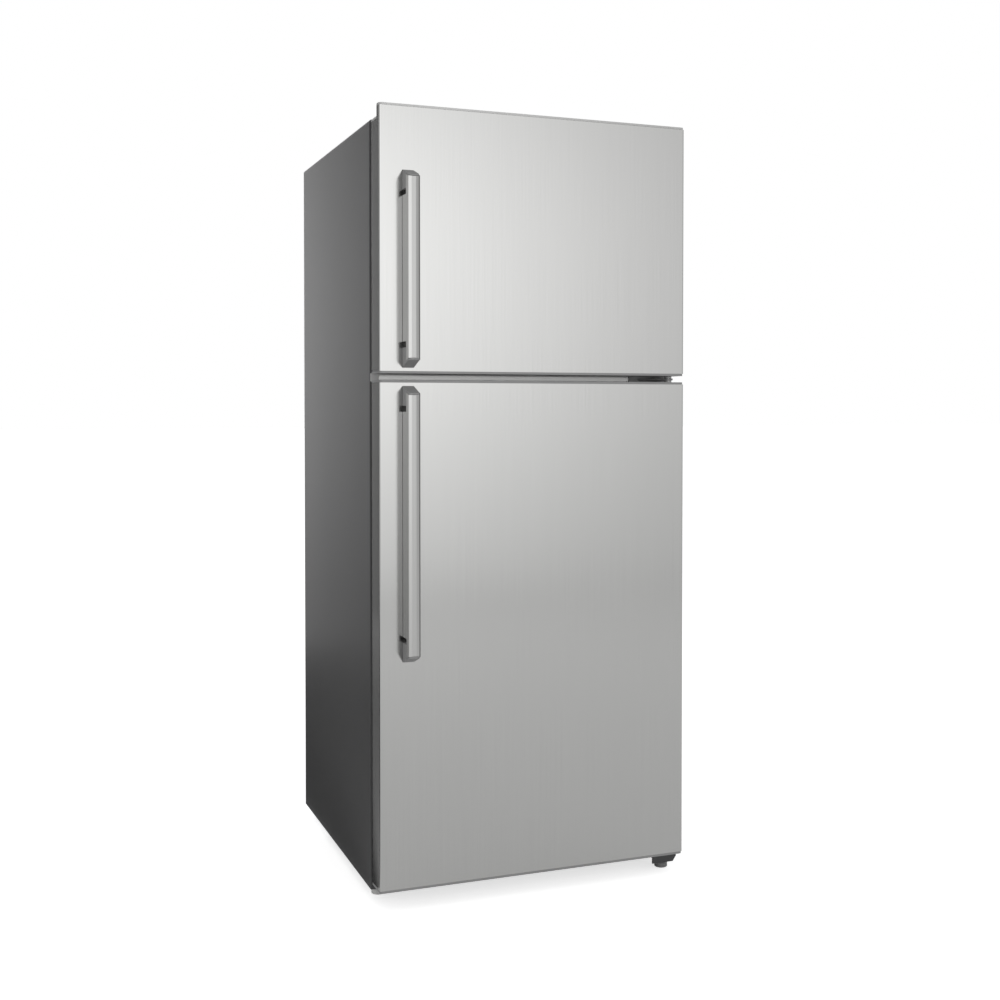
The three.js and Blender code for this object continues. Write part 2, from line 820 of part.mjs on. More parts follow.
// A twist tray: pockets in two rows, an end pivot, and a knob in front.
function iceTray() {
  const y0 = iceFrameY[0] + iceWall + 1;
  const y1 = iceFrameY[1] - iceWall - 1;
  const { x, z } = iceAxis;
  const section = mirrored([
    [trayHalf, trayHigh],
    [trayHalf - trayFlare, -trayLow],
  ]);
  const body = prism("y", section, y0, y1).translate(x, 0, z);
  const step = (y1 - y0 - 6) / trayRows;
  const pocket = (side, row) => {
    const at = [x + side * 19.5, y0 + 3 + step * (row + 0.5)];
    const ring = (inset, level) =>
      mirrored([
        [18 - inset, inset + 1.5 - step / 2],
        [18 - inset, step / 2 - 1.5 - inset],
      ]).map(([a, b]) => [at[0] + a, at[1] + b, level]);
    return loft([ring(6, z - trayLow + 2), ring(0, z + trayHigh + 1)]);
  };
  const pockets = Array.from({ length: trayRows }, (_, row) => [pocket(-1, row), pocket(1, row)]);
  const shaft = rod("y", [x, 0, z], trayPivot, iceFrameY[0] - 6, iceFrameY[1] - 0.5);
  const between = block([x - trayHalf, x + trayHalf], [y0 + 3, y1 - 3], [z - trayLow, z + trayLow]);
  const pivots = cut(shaft, between);
  const grip = rounded([x - 22, x + 22], [z - 9, z + 9], 8);
  const knob = prism("y", grip, iceFrameY[0] - 18, iceFrameY[0] - 1);
  return cut(join(body, pivots, knob), ...pockets.flat());
}

// ---------- Refrigerator compartment ----------
const ductFront = rear - 24;
const crisperCoverLevel = stepTop + fit;
const shelfHalf = inside - 3;

function glassShelf(level, back) {
  const outline = rounded([-shelfHalf, shelfHalf], [shelfFront, back], 10);
  return prism("z", outline, level, level + shelfThickness);
}

// Air duct on the rear wall, with outlets above each shelf.
function airDuct() {
  const low = stepTop + 30;
  const high = fridgeTop - fit;
  const wall = 2;
  const path = [
    [-76, rear - fit],
    [-64, ductFront + wall],
    [64, ductFront + wall],
    [76, rear - fit],
  ];
  const cover = prism("z", bentSheet(path, -wall), low, high);
  const outlets = [...shelfLevels, crisperCoverLevel].flatMap((level) =>
    [-30, 30].map((x) =>
      prism("y", rounded([x - 20, x + 20], [level + 60, level + 74], 5, 1), ductFront - 5, ductFront + 5),
    ),
  );
  return cut(cover, ...outlets);
}

const boxFront = doorBack + dykeHeight + 15;
const boxBack = boxFront + 130;
const boxHeight = 38;
const boxHalf = 110;
const knobAt = { x: 56, z: fridgeTop - 19 };
const switchAt = { x: -80, z: fridgeTop - 22 };
const knobShaft = 3;
const switchHalf = 4;

// The housing under the ceiling: open on top, closed by the liner.
function controlBox() {
  const outline = (grow) => [
    [boxFront + grow, fridgeTop - fit + (grow ? 5 : 0)],
    [boxFront + grow, fridgeTop - boxHeight + 8 + grow],
    [boxFront + 10 + grow, fridgeTop - boxHeight + grow],
    [boxBack - 14 - grow, fridgeTop - boxHeight + grow],
    [boxBack - grow, fridgeTop - fit + (grow ? 5 : 0)],
  ];
  return cut(
    prism("x", outline(0), -boxHalf, boxHalf),
    prism("x", outline(2.2), -boxHalf + 2.2, boxHalf - 2.2),
    rod("y", [knobAt.x, 0, knobAt.z], knobShaft + running, boxFront - 5, boxFront + 8, 10),
    block(
      [switchAt.x - switchHalf - running, switchAt.x + switchHalf + running],
      [boxFront - 5, boxFront + 8],
      [switchAt.z - switchHalf - running, switchAt.z + switchHalf + running],
    ),
  );
}

function thermostatKnob() {
  const at = [knobAt.x, 0, knobAt.z];
  const skirt = rod("y", at, 14, boxFront - 4, boxFront - fit, 20);
  const grip = join(
    rod("y", at, 9.5, boxFront - 13, boxFront - 3, 18),
    block([knobAt.x - 2, knobAt.x + 2], [boxFront - 13.5, boxFront - 3], [knobAt.z - 13, knobAt.z + 13]),
  );
  return join(skirt, grip, rod("y", at, knobShaft, boxFront - 1, boxFront + 12, 10));
}

// The plunger stands against the closed door's inner face.
const dykeFace = doorBack + dykeHeight;
function lightSwitch() {
  const { x, z } = switchAt;
  const square = (half, from, to) => block([x - half, x + half], [from, to], [z - half, z + half]);
  return join(
    square(switchHalf, dykeFace + fit, boxFront + 20),
    square(switchHalf + 2.5, boxFront + 13, boxFront + 16),
  );
}

function lampCover() {
  const from = boxBack + 4;
  const ring = (inset, z) =>
    rounded([-60 + inset, 60 - inset], [from + inset, from + 110 - inset], 12).map(([a, b]) => [a, b, z]);
  const top = fridgeTop - fit;
  return cut(
    loft([ring(8, top - 26), ring(2, top - 18), ring(0, top)]),
    loft([ring(10, top - 24), ring(4, top - 17), ring(2, top + 1)]),
  );
}

// A tapered tray whose rear wall leans with the riser behind it, and a front with a pull lip.
function crisperDrawer() {
  const x = inside - crisperSideGap;
  const front = shelfFront + 1;
  const bottom = fridgeFloor + railHeight + fit;
  const top = bottom + crisperHeight;
  const back = riserFoot - stepWall - 8;
  const ring = (inset, rise, z) => {
    const taper = 12 * (1 - rise);
    return rounded(
      [-x + inset + taper, x - inset - taper],
      [front + inset + 5, back - inset + stepSlope * rise],
      12,
      3,
    ).map(([a, b]) => [a, b, z]);
  };
  const tray = cut(
    loft([ring(0, 0, bottom), ring(0, 1, top)]),
    loft([ring(2, 0, bottom + 2), ring(2, 1.01, top + 1)]),
  );
  const panel = prism("y", rounded([-x, x], [bottom, top + 2], 6, 2), front, front + 6);
  const lip = prism(
    "x",
    [
      [front, top - 26],
      [front - 4, top - 14],
      [front - 4, top + 2],
      [front + 2, top + 2],
      [front + 2, top - 26],
    ],
    -120,
    120,
  );
  const pull = prism(
    "x",
    [
      [front - 5, top - 30],
      [front + 5, top - 30],
      [front + 5, top - 6],
      [front - 5, top - 16],
    ],
    -90,
    90,
  );
  return cut(join(tray, panel, lip), pull.intersect(block([-90, 90], [front - 9, front + 3.5], [0, top])));
}

// ---------- Doors ----------
const gapBottom = doorParting - partingGap / 2;
const gapTop = doorParting + partingGap / 2;
const binFloor = dykeEndClearance + dykeWidth + fit;
const doors = {
  freezer: {
    bottom: gapTop,
    top: doorTop,
    lip: lipHeight,
    floor: freezerFloor,
    ceiling: freezerTop,
    sealTop: freezerTop + linerFlange + gasketWidth,
    sealBottom: gapTop + 2.5,
    bins: [
      { z: freezerFloor + binFloor, height: freezerLowBinHeight },
      { z: freezerFloor + freezerBinRise, height: freezerBinHeight },
    ],
    handle: [gapTop + handleEdgeGap, gapTop + handleEdgeGap + freezerHandleLength],
  },
  fridge: {
    bottom: doorBottom,
    top: gapBottom,
    lip: 0,
    floor: fridgeFloor,
    ceiling: fridgeTop,
    sealTop: gapBottom - 2.5,
    sealBottom: doorBottom + gasketWidth,
    bins: [
      { z: fridgeFloor + binFloor, height: bottleBinHeight },
      { z: fridgeTop - lowerBinDrop, height: fridgeBinHeight },
      { z: fridgeTop - upperBinDrop, height: fridgeBinHeight },
    ],
    handle: [gapBottom - handleEdgeGap - fridgeHandleLength, gapBottom - handleEdgeGap],
  },
};

const planOutline = (inset) => {
  const h = halfWidth - inset;
  const r = doorCorner - inset;
  return mirrored([[h, doorBack], ...arc(h - r, doorFront + inset + r, r, 0, -90)]);
};
const clampedPlan = (inset, back) => planOutline(inset).map(([x, y]) => [x, Math.min(y, back)]);

// The stainless sheet wraps the front and both sides, and turns in behind.
function doorSkin(door) {
  const half = halfWidth;
  const path = [
    [half - doorReturn, doorBack],
    [half, doorBack],
    ...arc(half - doorCorner, doorFront + doorCorner, doorCorner, 0, -90, 4),
  ];
  const skin = prism(
    "z",
    bentSheet(mirrored(path), -doorSheet),
    door.bottom + capPlate + fit,
    door.top - capPlate - fit,
  );
  if (!door.lip) return skin;
  const behindLip = block(
    [-width, width],
    [doorFront + lipDepth + fit, 0],
    [door.top - door.lip - capPlate - fit, door.top + 1],
  );
  return cut(skin, behindLip);
}

// The boss under or over a cap takes a hinge pin.
function capBoss(from, to, boreFrom, boreTo) {
  return {
    boss: rod("z", [axisX, axisY, 0], pinRadius + bossWall, from, to, 14),
    bore: rod("z", [axisX, axisY, 0], pinRadius + running, boreFrom, boreTo, 12),
  };
}

function skirtRing(from, to, grow) {
  const back = doorBack - linerWall;
  const outer = prism("z", clampedPlan(doorSheet + fit - grow, back - 2 * fit + grow), from, to);
  const inset = doorSheet + fit + capWall + grow;
  const inner = prism("z", clampedPlan(inset, back - capWall - grow), from - 1, to + 1);
  return cut(outer, inner);
}

function bottomCap(door) {
  const z = door.bottom;
  const { boss, bore } = capBoss(z, z + pinReach + capPlate, z - 1, z + pinReach + 1);
  const plate = prism("z", planOutline(0), z, z + capPlate);
  return cut(join(plate, skirtRing(z + capPlate - 1, z + capPlate + capSkirt, 0), boss), bore);
}

// On the freezer door the cap steps up at the front to a lip that hides the top hinge.
function topCap(door) {
  const z = door.top - door.lip;
  const { boss, bore } = capBoss(z - pinReach - capPlate, z, z - pinReach - 1, z + 1);
  const skirt = skirtRing(z - capPlate - capSkirt, z - capPlate + 1, 0);
  if (!door.lip) {
    return cut(join(prism("z", planOutline(0), z - capPlate, z), skirt, boss), bore);
  }
  const wallFront = doorFront + lipDepth - capWall;
  const behind = doorFront + lipDepth + 2 * fit;
  const plate = cut(
    prism("z", planOutline(0), z - capPlate, z),
    block([-width, width], [doorFront - 1, behind], [0, doorTop + 1]),
  );
  const half = halfWidth - doorSheet - fit;
  const wall = block([-half, half], [wallFront, behind + 1], [z - capPlate, door.top - 1]);
  const lip = prism("z", clampedPlan(0, doorFront + lipDepth), door.top - capPlate, door.top);
  const trimmed = cut(wall, block([-width, width], [doorFront + lipDepth, 0], [z, doorTop + 1]));
  const rearSkirt = cut(skirt, block([-width, width], [doorFront - 1, wallFront - 1], [0, doorTop]));
  return cut(join(plate, trimmed, lip, rearSkirt, boss), bore);
}

// Outlines, seen from behind, of the raised dyke on a door's inner face and of the pocket that it encloses.
function dykeOutline(door, inset) {
  const side = inside - dykeSideClearance - inset;
  return rounded(
    [-side, side],
    [door.floor + dykeEndClearance + inset, door.ceiling - dykeEndClearance - inset],
    Math.max(dykeCorner - inset, 2),
  );
}
const pocketOutline = (door, grow) => dykeOutline(door, dykeWidth - grow);

function doorLiner(door) {
  const bodyTop = door.top - door.lip;
  const sideEdge = halfWidth - doorReturn - fit;
  const flange = block(
    [-sideEdge, sideEdge],
    [doorBack - linerWall, doorBack],
    [door.bottom + capPlate + fit, bodyTop - capPlate - fit],
  );
  const dyke = cut(
    prism("y", dykeOutline(door, 0), doorBack - linerWall, dykeFace),
    prism("y", pocketOutline(door, 0), doorBack, dykeFace + 1),
  );
  const hollow = cut(
    prism("y", dykeOutline(door, linerWall), doorBack - linerWall - 1, dykeFace - linerWall),
    prism("y", pocketOutline(door, linerWall), doorBack - linerWall - 2, dykeFace),
  );
  const edge = inside - dykeSideClearance - dykeWidth;
  const lugs = door.bins.slice(1).flatMap(({ z }) =>
    [-1, 1].map((side) =>
      block(
        side < 0 ? [-edge - linerWall / 2, -edge + lugSize] : [edge - lugSize, edge + linerWall / 2],
        [doorBack + 4, dykeFace - 6],
        [z - fit - lugSize, z - fit],
      ),
    ),
  );
  return join(cut(join(flange, dyke), hollow), ...lugs);
}

function doorFoam(door) {
  const gap = linerWall + fit;
  const bodyTop = door.top - door.lip;
  const low = door.bottom + capPlate + fit;
  const high = bodyTop - capPlate - fit;
  const body = prism("z", clampedPlan(doorSheet + fit, doorBack - gap), low, high);
  const ridge = cut(
    prism("y", dykeOutline(door, gap), doorBack - gap - 1, dykeFace - gap),
    prism("y", pocketOutline(door, gap), doorBack - gap - 2, dykeFace),
  );
  const bossRoom = (from, to) => rod("z", [axisX, axisY, 0], pinRadius + bossWall + fit, from, to);
  const solid = cut(
    body,
    skirtRing(low - 9, low + capSkirt, fit),
    skirtRing(high - capSkirt, high + 9, fit),
    bossRoom(low - 1, door.bottom + pinReach + capPlate + fit),
    bossRoom(bodyTop - pinReach - capPlate - fit, high + 1),
  );
  return join(solid, ridge);
}

// A soft seal: base, narrow bellows and magnet bulb, all round the door.
function doorGasket(door) {
  const ring = (from, to, inset) => {
    const outer = halfWidth - gasketInset - inset;
    const inner = halfWidth - gasketInset - gasketWidth + inset;
    const outerZ = [door.sealBottom + inset, door.sealTop - inset];
    const innerZ = [door.sealBottom + gasketWidth - inset, door.sealTop - gasketWidth + inset];
    return cut(
      prism("y", rounded([-outer, outer], outerZ, 8 - inset, 2), from, to),
      prism("y", rounded([-inner, inner], innerZ, 3, 1), from - 1, to + 1),
    );
  };
  const base = doorBack + fit;
  return join(ring(base, base + 4, 0), ring(base + 3, -fit - 5, 4), ring(-fit - 6, -fit, 1));
}

// A clear bin: tapered, with a rounded front and a side wall that sweeps down to the door.
function doorBin({ z, height }) {
  const half = inside - dykeSideClearance - dykeWidth - fit;
  const back = doorBack + fit;
  const front = doorFront + binReach;
  const top = z + height;
  const ring = (inset, level, grow) => {
    const side = half - inset - grow;
    const outline = rounded([-side, side], [back + inset, front - inset - 2 * grow], 14);
    return outline.map(([a, b]) => [a, b, level]);
  };
  const tray = cut(
    loft([ring(0, z, 4), ring(0, top, 0)]),
    loft([ring(binWall, z + binWall, 4), ring(binWall, top + 1, 0)]),
  );
  const sweep = prism(
    "x",
    [
      [back - 5, top + 5],
      [back - 5, z + height * 0.45],
      [back + 10, z + height * 0.45],
      [back + 48, z + height * 0.72],
      [front - 34, top],
      [front - 30, top + 5],
    ],
    -halfWidth,
    halfWidth,
  );
  return cut(tray, sweep);
}

// ---------- Handles ----------
const handleX = -halfWidth + handleInset + handleWidth / 2;
function handleSide(low, high, inset) {
  const shift = (inset * Math.hypot(handleReach, handleSlant)) / handleReach;
  return [
    [doorFront - fit, low + shift],
    [handleFront, low + shift + handleSlant],
    [handleFront, high - shift - handleSlant],
    [doorFront - fit, high - shift],
  ];
}

// Extruded section with a gently crowned face between two bevels.
function handleSection() {
  const half = handleWidth / 2;
  const back = handleFront + handleBarDepth;
  const crown = Array.from({ length: 7 }, (_, i) => {
    const x = half - 4.5 - ((2 * half - 9) * i) / 6;
    return [x, handleFront + 0.8 * (x / (half - 4.5)) ** 2];
  });
  return [[-half, back], [half, back], [half, handleFront + 5], ...crown, [-half, handleFront + 5]].map(
    ([x, y]) => [handleX + x, y],
  );
}

function handleBar([low, high]) {
  const side = prism("x", handleSide(low, high, handleEndWall + fit), -halfWidth, halfWidth);
  return prism("z", handleSection(), low, high).intersect(side);
}

// A mount closes one end of the bar and stands it off the door.
function handleMount([low, high], upper) {
  const half = handleWidth / 2;
  const outer = prism("x", handleSide(low, high, 0), handleX - half, handleX + half);
  const bar = prism("x", handleSide(low, high, handleEndWall), -halfWidth, halfWidth);
  const barRoom = bar.intersect(
    block([-halfWidth, 0], [handleFront - 1, handleFront + handleBarDepth + fit], [0, high + 1]),
  );
  const middle = upper ? [0, high - handleMountLength] : [low + handleMountLength, high + 1];
  const deepSection = handleSection().map(([x, y], i) => [x, i < 2 ? doorFront : y]);
  const profile = prism("z", deepSection, low, high);
  return cut(outer.intersect(profile), barRoom, block([-width, 0], [handleFront - 9, 0], middle));
}

// ---------- Hinges ----------
// Parts of a hinge are built round the common door axis.
const pinAt = [axisX, axisY, 0];
const pin = (from, to) => rod("z", pinAt, pinRadius, from, to, 12);
const collar = (from, to) => rod("z", pinAt, collarRadius, from, to, 12);

function topHingePlan(margin) {
  const nose = 10 + margin;
  return [
    [axisX - 68 - margin, 58 + margin],
    [axisX - 68 - margin, 6 - margin],
    [axisX - 30 - margin, -6],
    ...arc(axisX, axisY, nose, 200, 430, 8),
    [axisX - 1 + margin / 2, 0],
    [axisX - 1 + margin / 2, 58 + margin],
  ];
}

function topHinge() {
  const z = cabinetTop + fit;
  const plate = prism("z", topHingePlan(0), z, z + hingePlate);
  return join(plate, pin(doorTop - lipHeight - pinReach, z + hingePlate + 1));
}

function topHingeCover() {
  const z = cabinetTop + fit;
  const top = doorTop - 3;
  return cut(
    prism("z", topHingePlan(3.5), z, top),
    prism("z", topHingePlan(1.5), z - 1, top - 2),
  );
}

// The bracket stands on the mullion and carries both doors on one pin.
function middleHinge() {
  const plateLow = doorParting - 2;
  const plateHigh = doorParting + 2;
  const flange = block(
    [axisX - 80, flangeInner + 22],
    [-fit - hingePlate, -fit],
    [mullionLow + 1, mullionHigh - 1],
  );
  const arm = prism(
    "z",
    [
      [axisX - 60, -fit - 1],
      [axisX - 52, -fit - 12],
      ...arc(axisX, axisY, 11, 190, 350, 6),
      [axisX + 11, -fit - 1],
    ],
    plateLow,
    plateHigh,
  );
  return join(
    flange,
    arm,
    pin(gapBottom - pinReach + 2, gapTop + pinReach - 2),
    collar(gapBottom + fit, gapTop - fit),
  );
}

// A folded plate under the refrigerator door carries its pin and the right foot.
function bottomHinge() {
  const z = doorBottom - 9;
  const left = axisX - 46;
  const right = halfWidth - 6;
  const front = doorFront + 16;
  const plate = prism("z", rounded([left, right], [front, -fit], 4, 2), z, z + hingePlate);
  const upright = block([axisX - 80, halfWidth - 4], [-fit - hingePlate, -fit], [z, doorBottom + 16]);
  const apron = prism(
    "y",
    [
      [left, z + 1],
      [left, z - 12],
      [right - 9, z - 12],
      [right, z + 1],
    ],
    front,
    front + hingePlate,
  );
  const nut = rod("z", [rightFoot.x, rightFoot.y, 0], stemRadius + 4, z - 8, z + 1, 6);
  const hole = rod("z", [rightFoot.x, rightFoot.y, 0], stemRadius + running, 0, doorBottom);
  return join(
    cut(join(plate, upright, apron, nut), hole),
    cut(join(pin(z + 1, doorBottom + pinReach - 2), collar(z + 1, doorBottom - fit)), hole),
  );
}

// ---------- Feet and rollers ----------
function foot({ x, y }, stemTop) {
  const profile = [
    [0, 0],
    [footRadius - 1.5, 0],
    [footRadius, 1.5],
    [footRadius, footHeight - 3],
    [footRadius - 2, footHeight - 1],
    [stemRadius + 3, footHeight],
    [stemRadius, footHeight],
    [stemRadius, stemTop],
    [0, stemTop],
  ];
  return turned("z", profile, [x, y, 0]);
}

function roller(x) {
  const half = rollerWidth / 2;
  const bore = axleRadius + running;
  const profile = [
    [bore, -half],
    [rollerRadius - 1.5, -half],
    [rollerRadius, 2 - half],
    [rollerRadius, half - 2],
    [rollerRadius - 1.5, half],
    [bore, half],
    [bore, -half],
  ];
  return turned("x", profile, [x, rollerY, rollerRadius]);
}

// ---------- Assembly ----------
add("cabinet_shell", cabinetShell(), "painted");
add("rear_panel", rearPanel(), "zinc");
add("bottom_deck", bottomDeck(), "painted");
add("insulation_foam", insulationFoam(), "foam");
add("freezer_liner", freezerLiner(), "whitePlastic");
add("fridge_liner", fridgeLiner(), "whitePlastic");
add("mullion_cover", mullionCover(), "silverPlastic");

add("base_plate", basePlate(), "zinc");
add("compressor", compressor(), "blackPaint");
add("refrigerant_pipe", refrigerantPipe(), "copper");
add("drain_pan", drainPan(), "darkPlastic");
add("compressor_cover", compressorCover(), "zinc");
add("cord_gland", cordGland(), "rubber");

add("evaporator_coil", evaporatorCoil(), "aluminium");
add("evaporator_cover", evaporatorCover(), "whitePlastic");
add("fan_motor", fanMotor(), "darkPlastic");
add("evaporator_fan", evaporatorFan(), "darkPlastic");
add("freezer_shelf", freezerShelf(), "zinc");
add("ice_frame", iceFrame(), "clearPlastic");
add("ice_tray", iceTray(), "whitePlastic");

add("air_duct", airDuct(), "whitePlastic");
add("control_box", controlBox(), "whitePlastic");
add("thermostat_knob", thermostatKnob(), "silverPlastic");
add("light_switch", lightSwitch(), "whitePlastic");
add("lamp_cover", lampCover(), "clearPlastic");
shelfLevels.forEach((level, i) => add(`glass_shelf_${i + 1}`, glassShelf(level, ductFront - 2), "glass"));
add("crisper_cover", glassShelf(crisperCoverLevel, rear - 30), "glass");
add("crisper_drawer", crisperDrawer(), "clearPlastic");

add("top_hinge", topHinge(), "zinc");
add("top_hinge_cover", topHingeCover(), "darkPlastic");
add("middle_hinge", middleHinge(), "blackPaint");
add("bottom_hinge", bottomHinge(), "blackPaint");
add("left_foot", foot(leftFoot, leftStemTop), "silverPlastic");
add("right_foot", foot(rightFoot, doorBottom - 3), "rubber");
add("left_roller", roller(-rollerX), "darkPlastic");
add("right_roller", roller(rollerX), "darkPlastic");

for (const [name, door] of Object.entries(doors)) {
  add(`${name}_door_skin`, doorSkin(door), "stainless");
  add(`${name}_door_liner`, doorLiner(door), "whitePlastic");
  add(`${name}_door_foam`, doorFoam(door), "foam");
  add(`${name}_door_top_cap`, topCap(door), door.lip ? "silverPlastic" : "darkPlastic");
  add(`${name}_door_bottom_cap`, bottomCap(door), "darkPlastic");
  add(`${name}_door_gasket`, doorGasket(door), "rubber");
  door.bins.forEach((bin, i) => add(`${name}_door_bin_${i + 1}`, doorBin(bin), "clearPlastic"));
  add(`${name}_handle_bar`, handleBar(door.handle), "aluminium");
  add(`${name}_handle_upper_mount`, handleMount(door.handle, true), "darkPlastic");
  add(`${name}_handle_lower_mount`, handleMount(door.handle, false), "darkPlastic");
}

// The origin is on the floor, under the middle of the whole.
refrigerator.position.y = -(cabinetDepth + handleFront) / 2;

export default refrigerator;
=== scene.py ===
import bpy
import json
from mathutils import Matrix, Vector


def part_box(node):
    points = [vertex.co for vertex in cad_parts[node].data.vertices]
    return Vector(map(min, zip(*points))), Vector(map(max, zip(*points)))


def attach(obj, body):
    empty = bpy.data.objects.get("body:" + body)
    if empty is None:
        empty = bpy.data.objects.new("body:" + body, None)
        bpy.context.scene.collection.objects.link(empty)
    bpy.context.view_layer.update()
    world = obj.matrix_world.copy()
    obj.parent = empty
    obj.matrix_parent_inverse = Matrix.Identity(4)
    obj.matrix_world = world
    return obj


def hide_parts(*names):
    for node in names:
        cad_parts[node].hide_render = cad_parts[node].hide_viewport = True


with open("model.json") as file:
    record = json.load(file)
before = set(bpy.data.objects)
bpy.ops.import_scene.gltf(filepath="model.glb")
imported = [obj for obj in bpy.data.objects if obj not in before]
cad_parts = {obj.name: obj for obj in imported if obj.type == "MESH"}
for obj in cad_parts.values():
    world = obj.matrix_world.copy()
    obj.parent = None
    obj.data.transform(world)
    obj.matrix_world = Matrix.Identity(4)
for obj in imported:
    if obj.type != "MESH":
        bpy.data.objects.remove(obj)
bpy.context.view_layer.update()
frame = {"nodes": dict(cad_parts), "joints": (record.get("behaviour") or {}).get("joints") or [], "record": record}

import json
import math

import bmesh
import bpy
import numpy as np
from mathutils import Vector

# A top freezer refrigerator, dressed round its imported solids: brushed steel doors,
# a grey painted cabinet, and a moulded white inside.

mm = 0.001
bodyOf = {node: body for body, nodes in frame["record"]["behaviour"]["bodies"].items() for node in nodes}
slotOf = {part["node"]: part["material_slot"] for part in frame["record"]["subparts"]}


def boxOf(node):
    # the two opposite corners of a solid's box
    low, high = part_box(node)
    return np.array(low), np.array(high)


def grey(level):
    # an opaque grey, from black at 0 to white at 1
    return (level, level, level, 1)


def newFinish(name, colour, roughness, metallic=0.0, **sockets):
    # a plain surface of one colour, whose grain is added to it afterwards
    material = bpy.data.materials.new(name)
    material.use_nodes = True
    shader = material.node_tree.nodes["Principled BSDF"]
    shader.inputs["Base Color"].default_value = (*colour, 1)
    shader.inputs["Roughness"].default_value = roughness
    shader.inputs["Metallic"].default_value = metallic
    for socket, value in sockets.items():
        shader.inputs[socket.replace("_", " ")].default_value = value
    return material


def addNode(owner, kind, values=None, **settings):
    # a node in the tree of a material, world or lamp; a value that is a socket is linked, any other is set
    node = owner.node_tree.nodes.new("ShaderNode" + kind)
    for name, value in settings.items():
        setattr(node, name, value)
    for socket, value in (values or {}).items():
        if isinstance(value, bpy.types.NodeSocket):
            owner.node_tree.links.new(value, node.inputs[socket])
        else:
            node.inputs[socket].default_value = value
    return node


def addGrain(material, layers):
    # Each layer is a texture on Object coordinates that runs from -1 to 1, with one scale for all three axes
    # or one for each. The colour is multiplied by 1 + the sum of amount x layer, the roughness gains its own
    # sum, and the relief is a chain of bumps.
    tree = material.node_tree
    shader = tree.nodes["Principled BSDF"]
    place = addNode(material, "TexCoord").outputs["Object"]
    tint, rough, normal = None, None, None
    for layer in layers:
        scale = layer["scale"] if isinstance(layer["scale"], tuple) else (layer["scale"],) * 3
        mapped = addNode(material, "Mapping", {"Vector": place, "Scale": scale})
        if layer.get("kind") == "cells":
            texture = addNode(material, "TexVoronoi", {"Vector": mapped.outputs[0], "Scale": 1.0})
            raw = addNode(material, "SeparateColor", {0: texture.outputs["Color"]}).outputs[0]
        else:
            texture = addNode(
                material,
                "TexNoise",
                {"Vector": mapped.outputs[0], "Scale": 1.0, "Detail": layer.get("detail", 2.0)},
            )
            raw = texture.outputs[0]
        spread = {"From Min": layer.get("low", 0.25), "From Max": layer.get("high", 0.75), "To Min": -1.0}
        signed = addNode(material, "MapRange", {"Value": raw, **spread}).outputs[0]
        if layer.get("colour"):
            tint = addSum(material, tint, signed, layer["colour"], 1.0)
        if layer.get("rough"):
            rough = addSum(material, rough, signed, layer["rough"], shader.inputs["Roughness"].default_value)
        if layer.get("bump"):
            values = {"Height": signed, "Distance": layer["bump"], "Strength": layer.get("strength", 1.0)}
            if normal:
                values["Normal"] = normal
            normal = addNode(material, "Bump", values).outputs[0]
    if tint:
        mix = addNode(material, "Mix", data_type="RGBA", blend_type="MULTIPLY")
        mix.inputs["Factor"].default_value = 1.0
        colourIn = [s for s in mix.inputs if s.type == "RGBA"]
        colourIn[0].default_value = shader.inputs["Base Color"].default_value[:]
        tree.links.new(tint, colourIn[1])
        tree.links.new([s for s in mix.outputs if s.type == "RGBA"][0], shader.inputs["Base Color"])
    if rough:
        tree.links.new(rough, shader.inputs["Roughness"])
    if normal:
        tree.links.new(normal, shader.inputs["Normal"])
    return material


def addSum(material, total, signed, amount, start):
    # total + amount x signed, where the first total is the start value
    values = {0: signed, 1: amount, 2: start if total is None else total}
    return addNode(material, "Math", values, operation="MULTIPLY_ADD").outputs[0]


brushedSteel = addGrain(
    newFinish("brushedSteel", (0.345, 0.345, 0.34), 0.17, 1.0, Specular_Tint=(0.62, 0.62, 0.62, 1)),
    [
        {"scale": (1400, 1400, 5), "detail": 3, "colour": 0.03, "rough": 0.03, "bump": 0.002 * mm,
         "strength": 0.15},
        {"scale": (260, 260, 2), "detail": 2, "colour": 0.012},
        {"scale": (3, 3, 2), "detail": 1, "rough": 0.015},
    ],
)
sidePaint = addGrain(
    newFinish("sidePaint", (0.07, 0.07, 0.071), 0.33, Specular_IOR_Level=0.12),
    [
        {"scale": 420, "detail": 2, "colour": 0.05, "rough": 0.03, "bump": 0.05 * mm, "strength": 0.3},
        {"scale": 5, "detail": 2, "colour": 0.03},
    ],
)
zincSheet = addGrain(
    newFinish("zincSheet", (0.48, 0.49, 0.5), 0.42, 0.85),
    [
        {"kind": "cells", "scale": 90, "low": 0, "high": 1, "colour": 0.12, "rough": 0.07},
        {"scale": 30, "detail": 3, "colour": 0.05, "rough": 0.04},
    ],
)
blackEnamel = addGrain(
    newFinish("blackEnamel", (0.016, 0.016, 0.017), 0.42),
    [
        {"scale": 900, "detail": 2, "rough": 0.06, "bump": 0.05 * mm, "strength": 0.3},
        {"scale": 40, "detail": 2, "colour": 0.15},
    ],
)
handleAluminium = addGrain(
    newFinish("handleAluminium", (0.33, 0.33, 0.325), 0.3, 1.0),
    [
        {"scale": (2200, 2200, 9), "detail": 2, "colour": 0.03, "rough": 0.04, "bump": 0.003 * mm,
         "strength": 0.25},
        {"scale": (12, 12, 6), "detail": 1, "rough": 0.02},
    ],
)
coilAluminium = addGrain(
    newFinish("coilAluminium", (0.6, 0.61, 0.62), 0.38, 1.0),
    [{"scale": 200, "detail": 3, "colour": 0.08, "rough": 0.08}],
)
copperTube = addGrain(
    newFinish("copperTube", (0.6, 0.27, 0.16), 0.32, 1.0),
    [{"scale": 60, "detail": 4, "colour": 0.18, "rough": 0.12}],
)
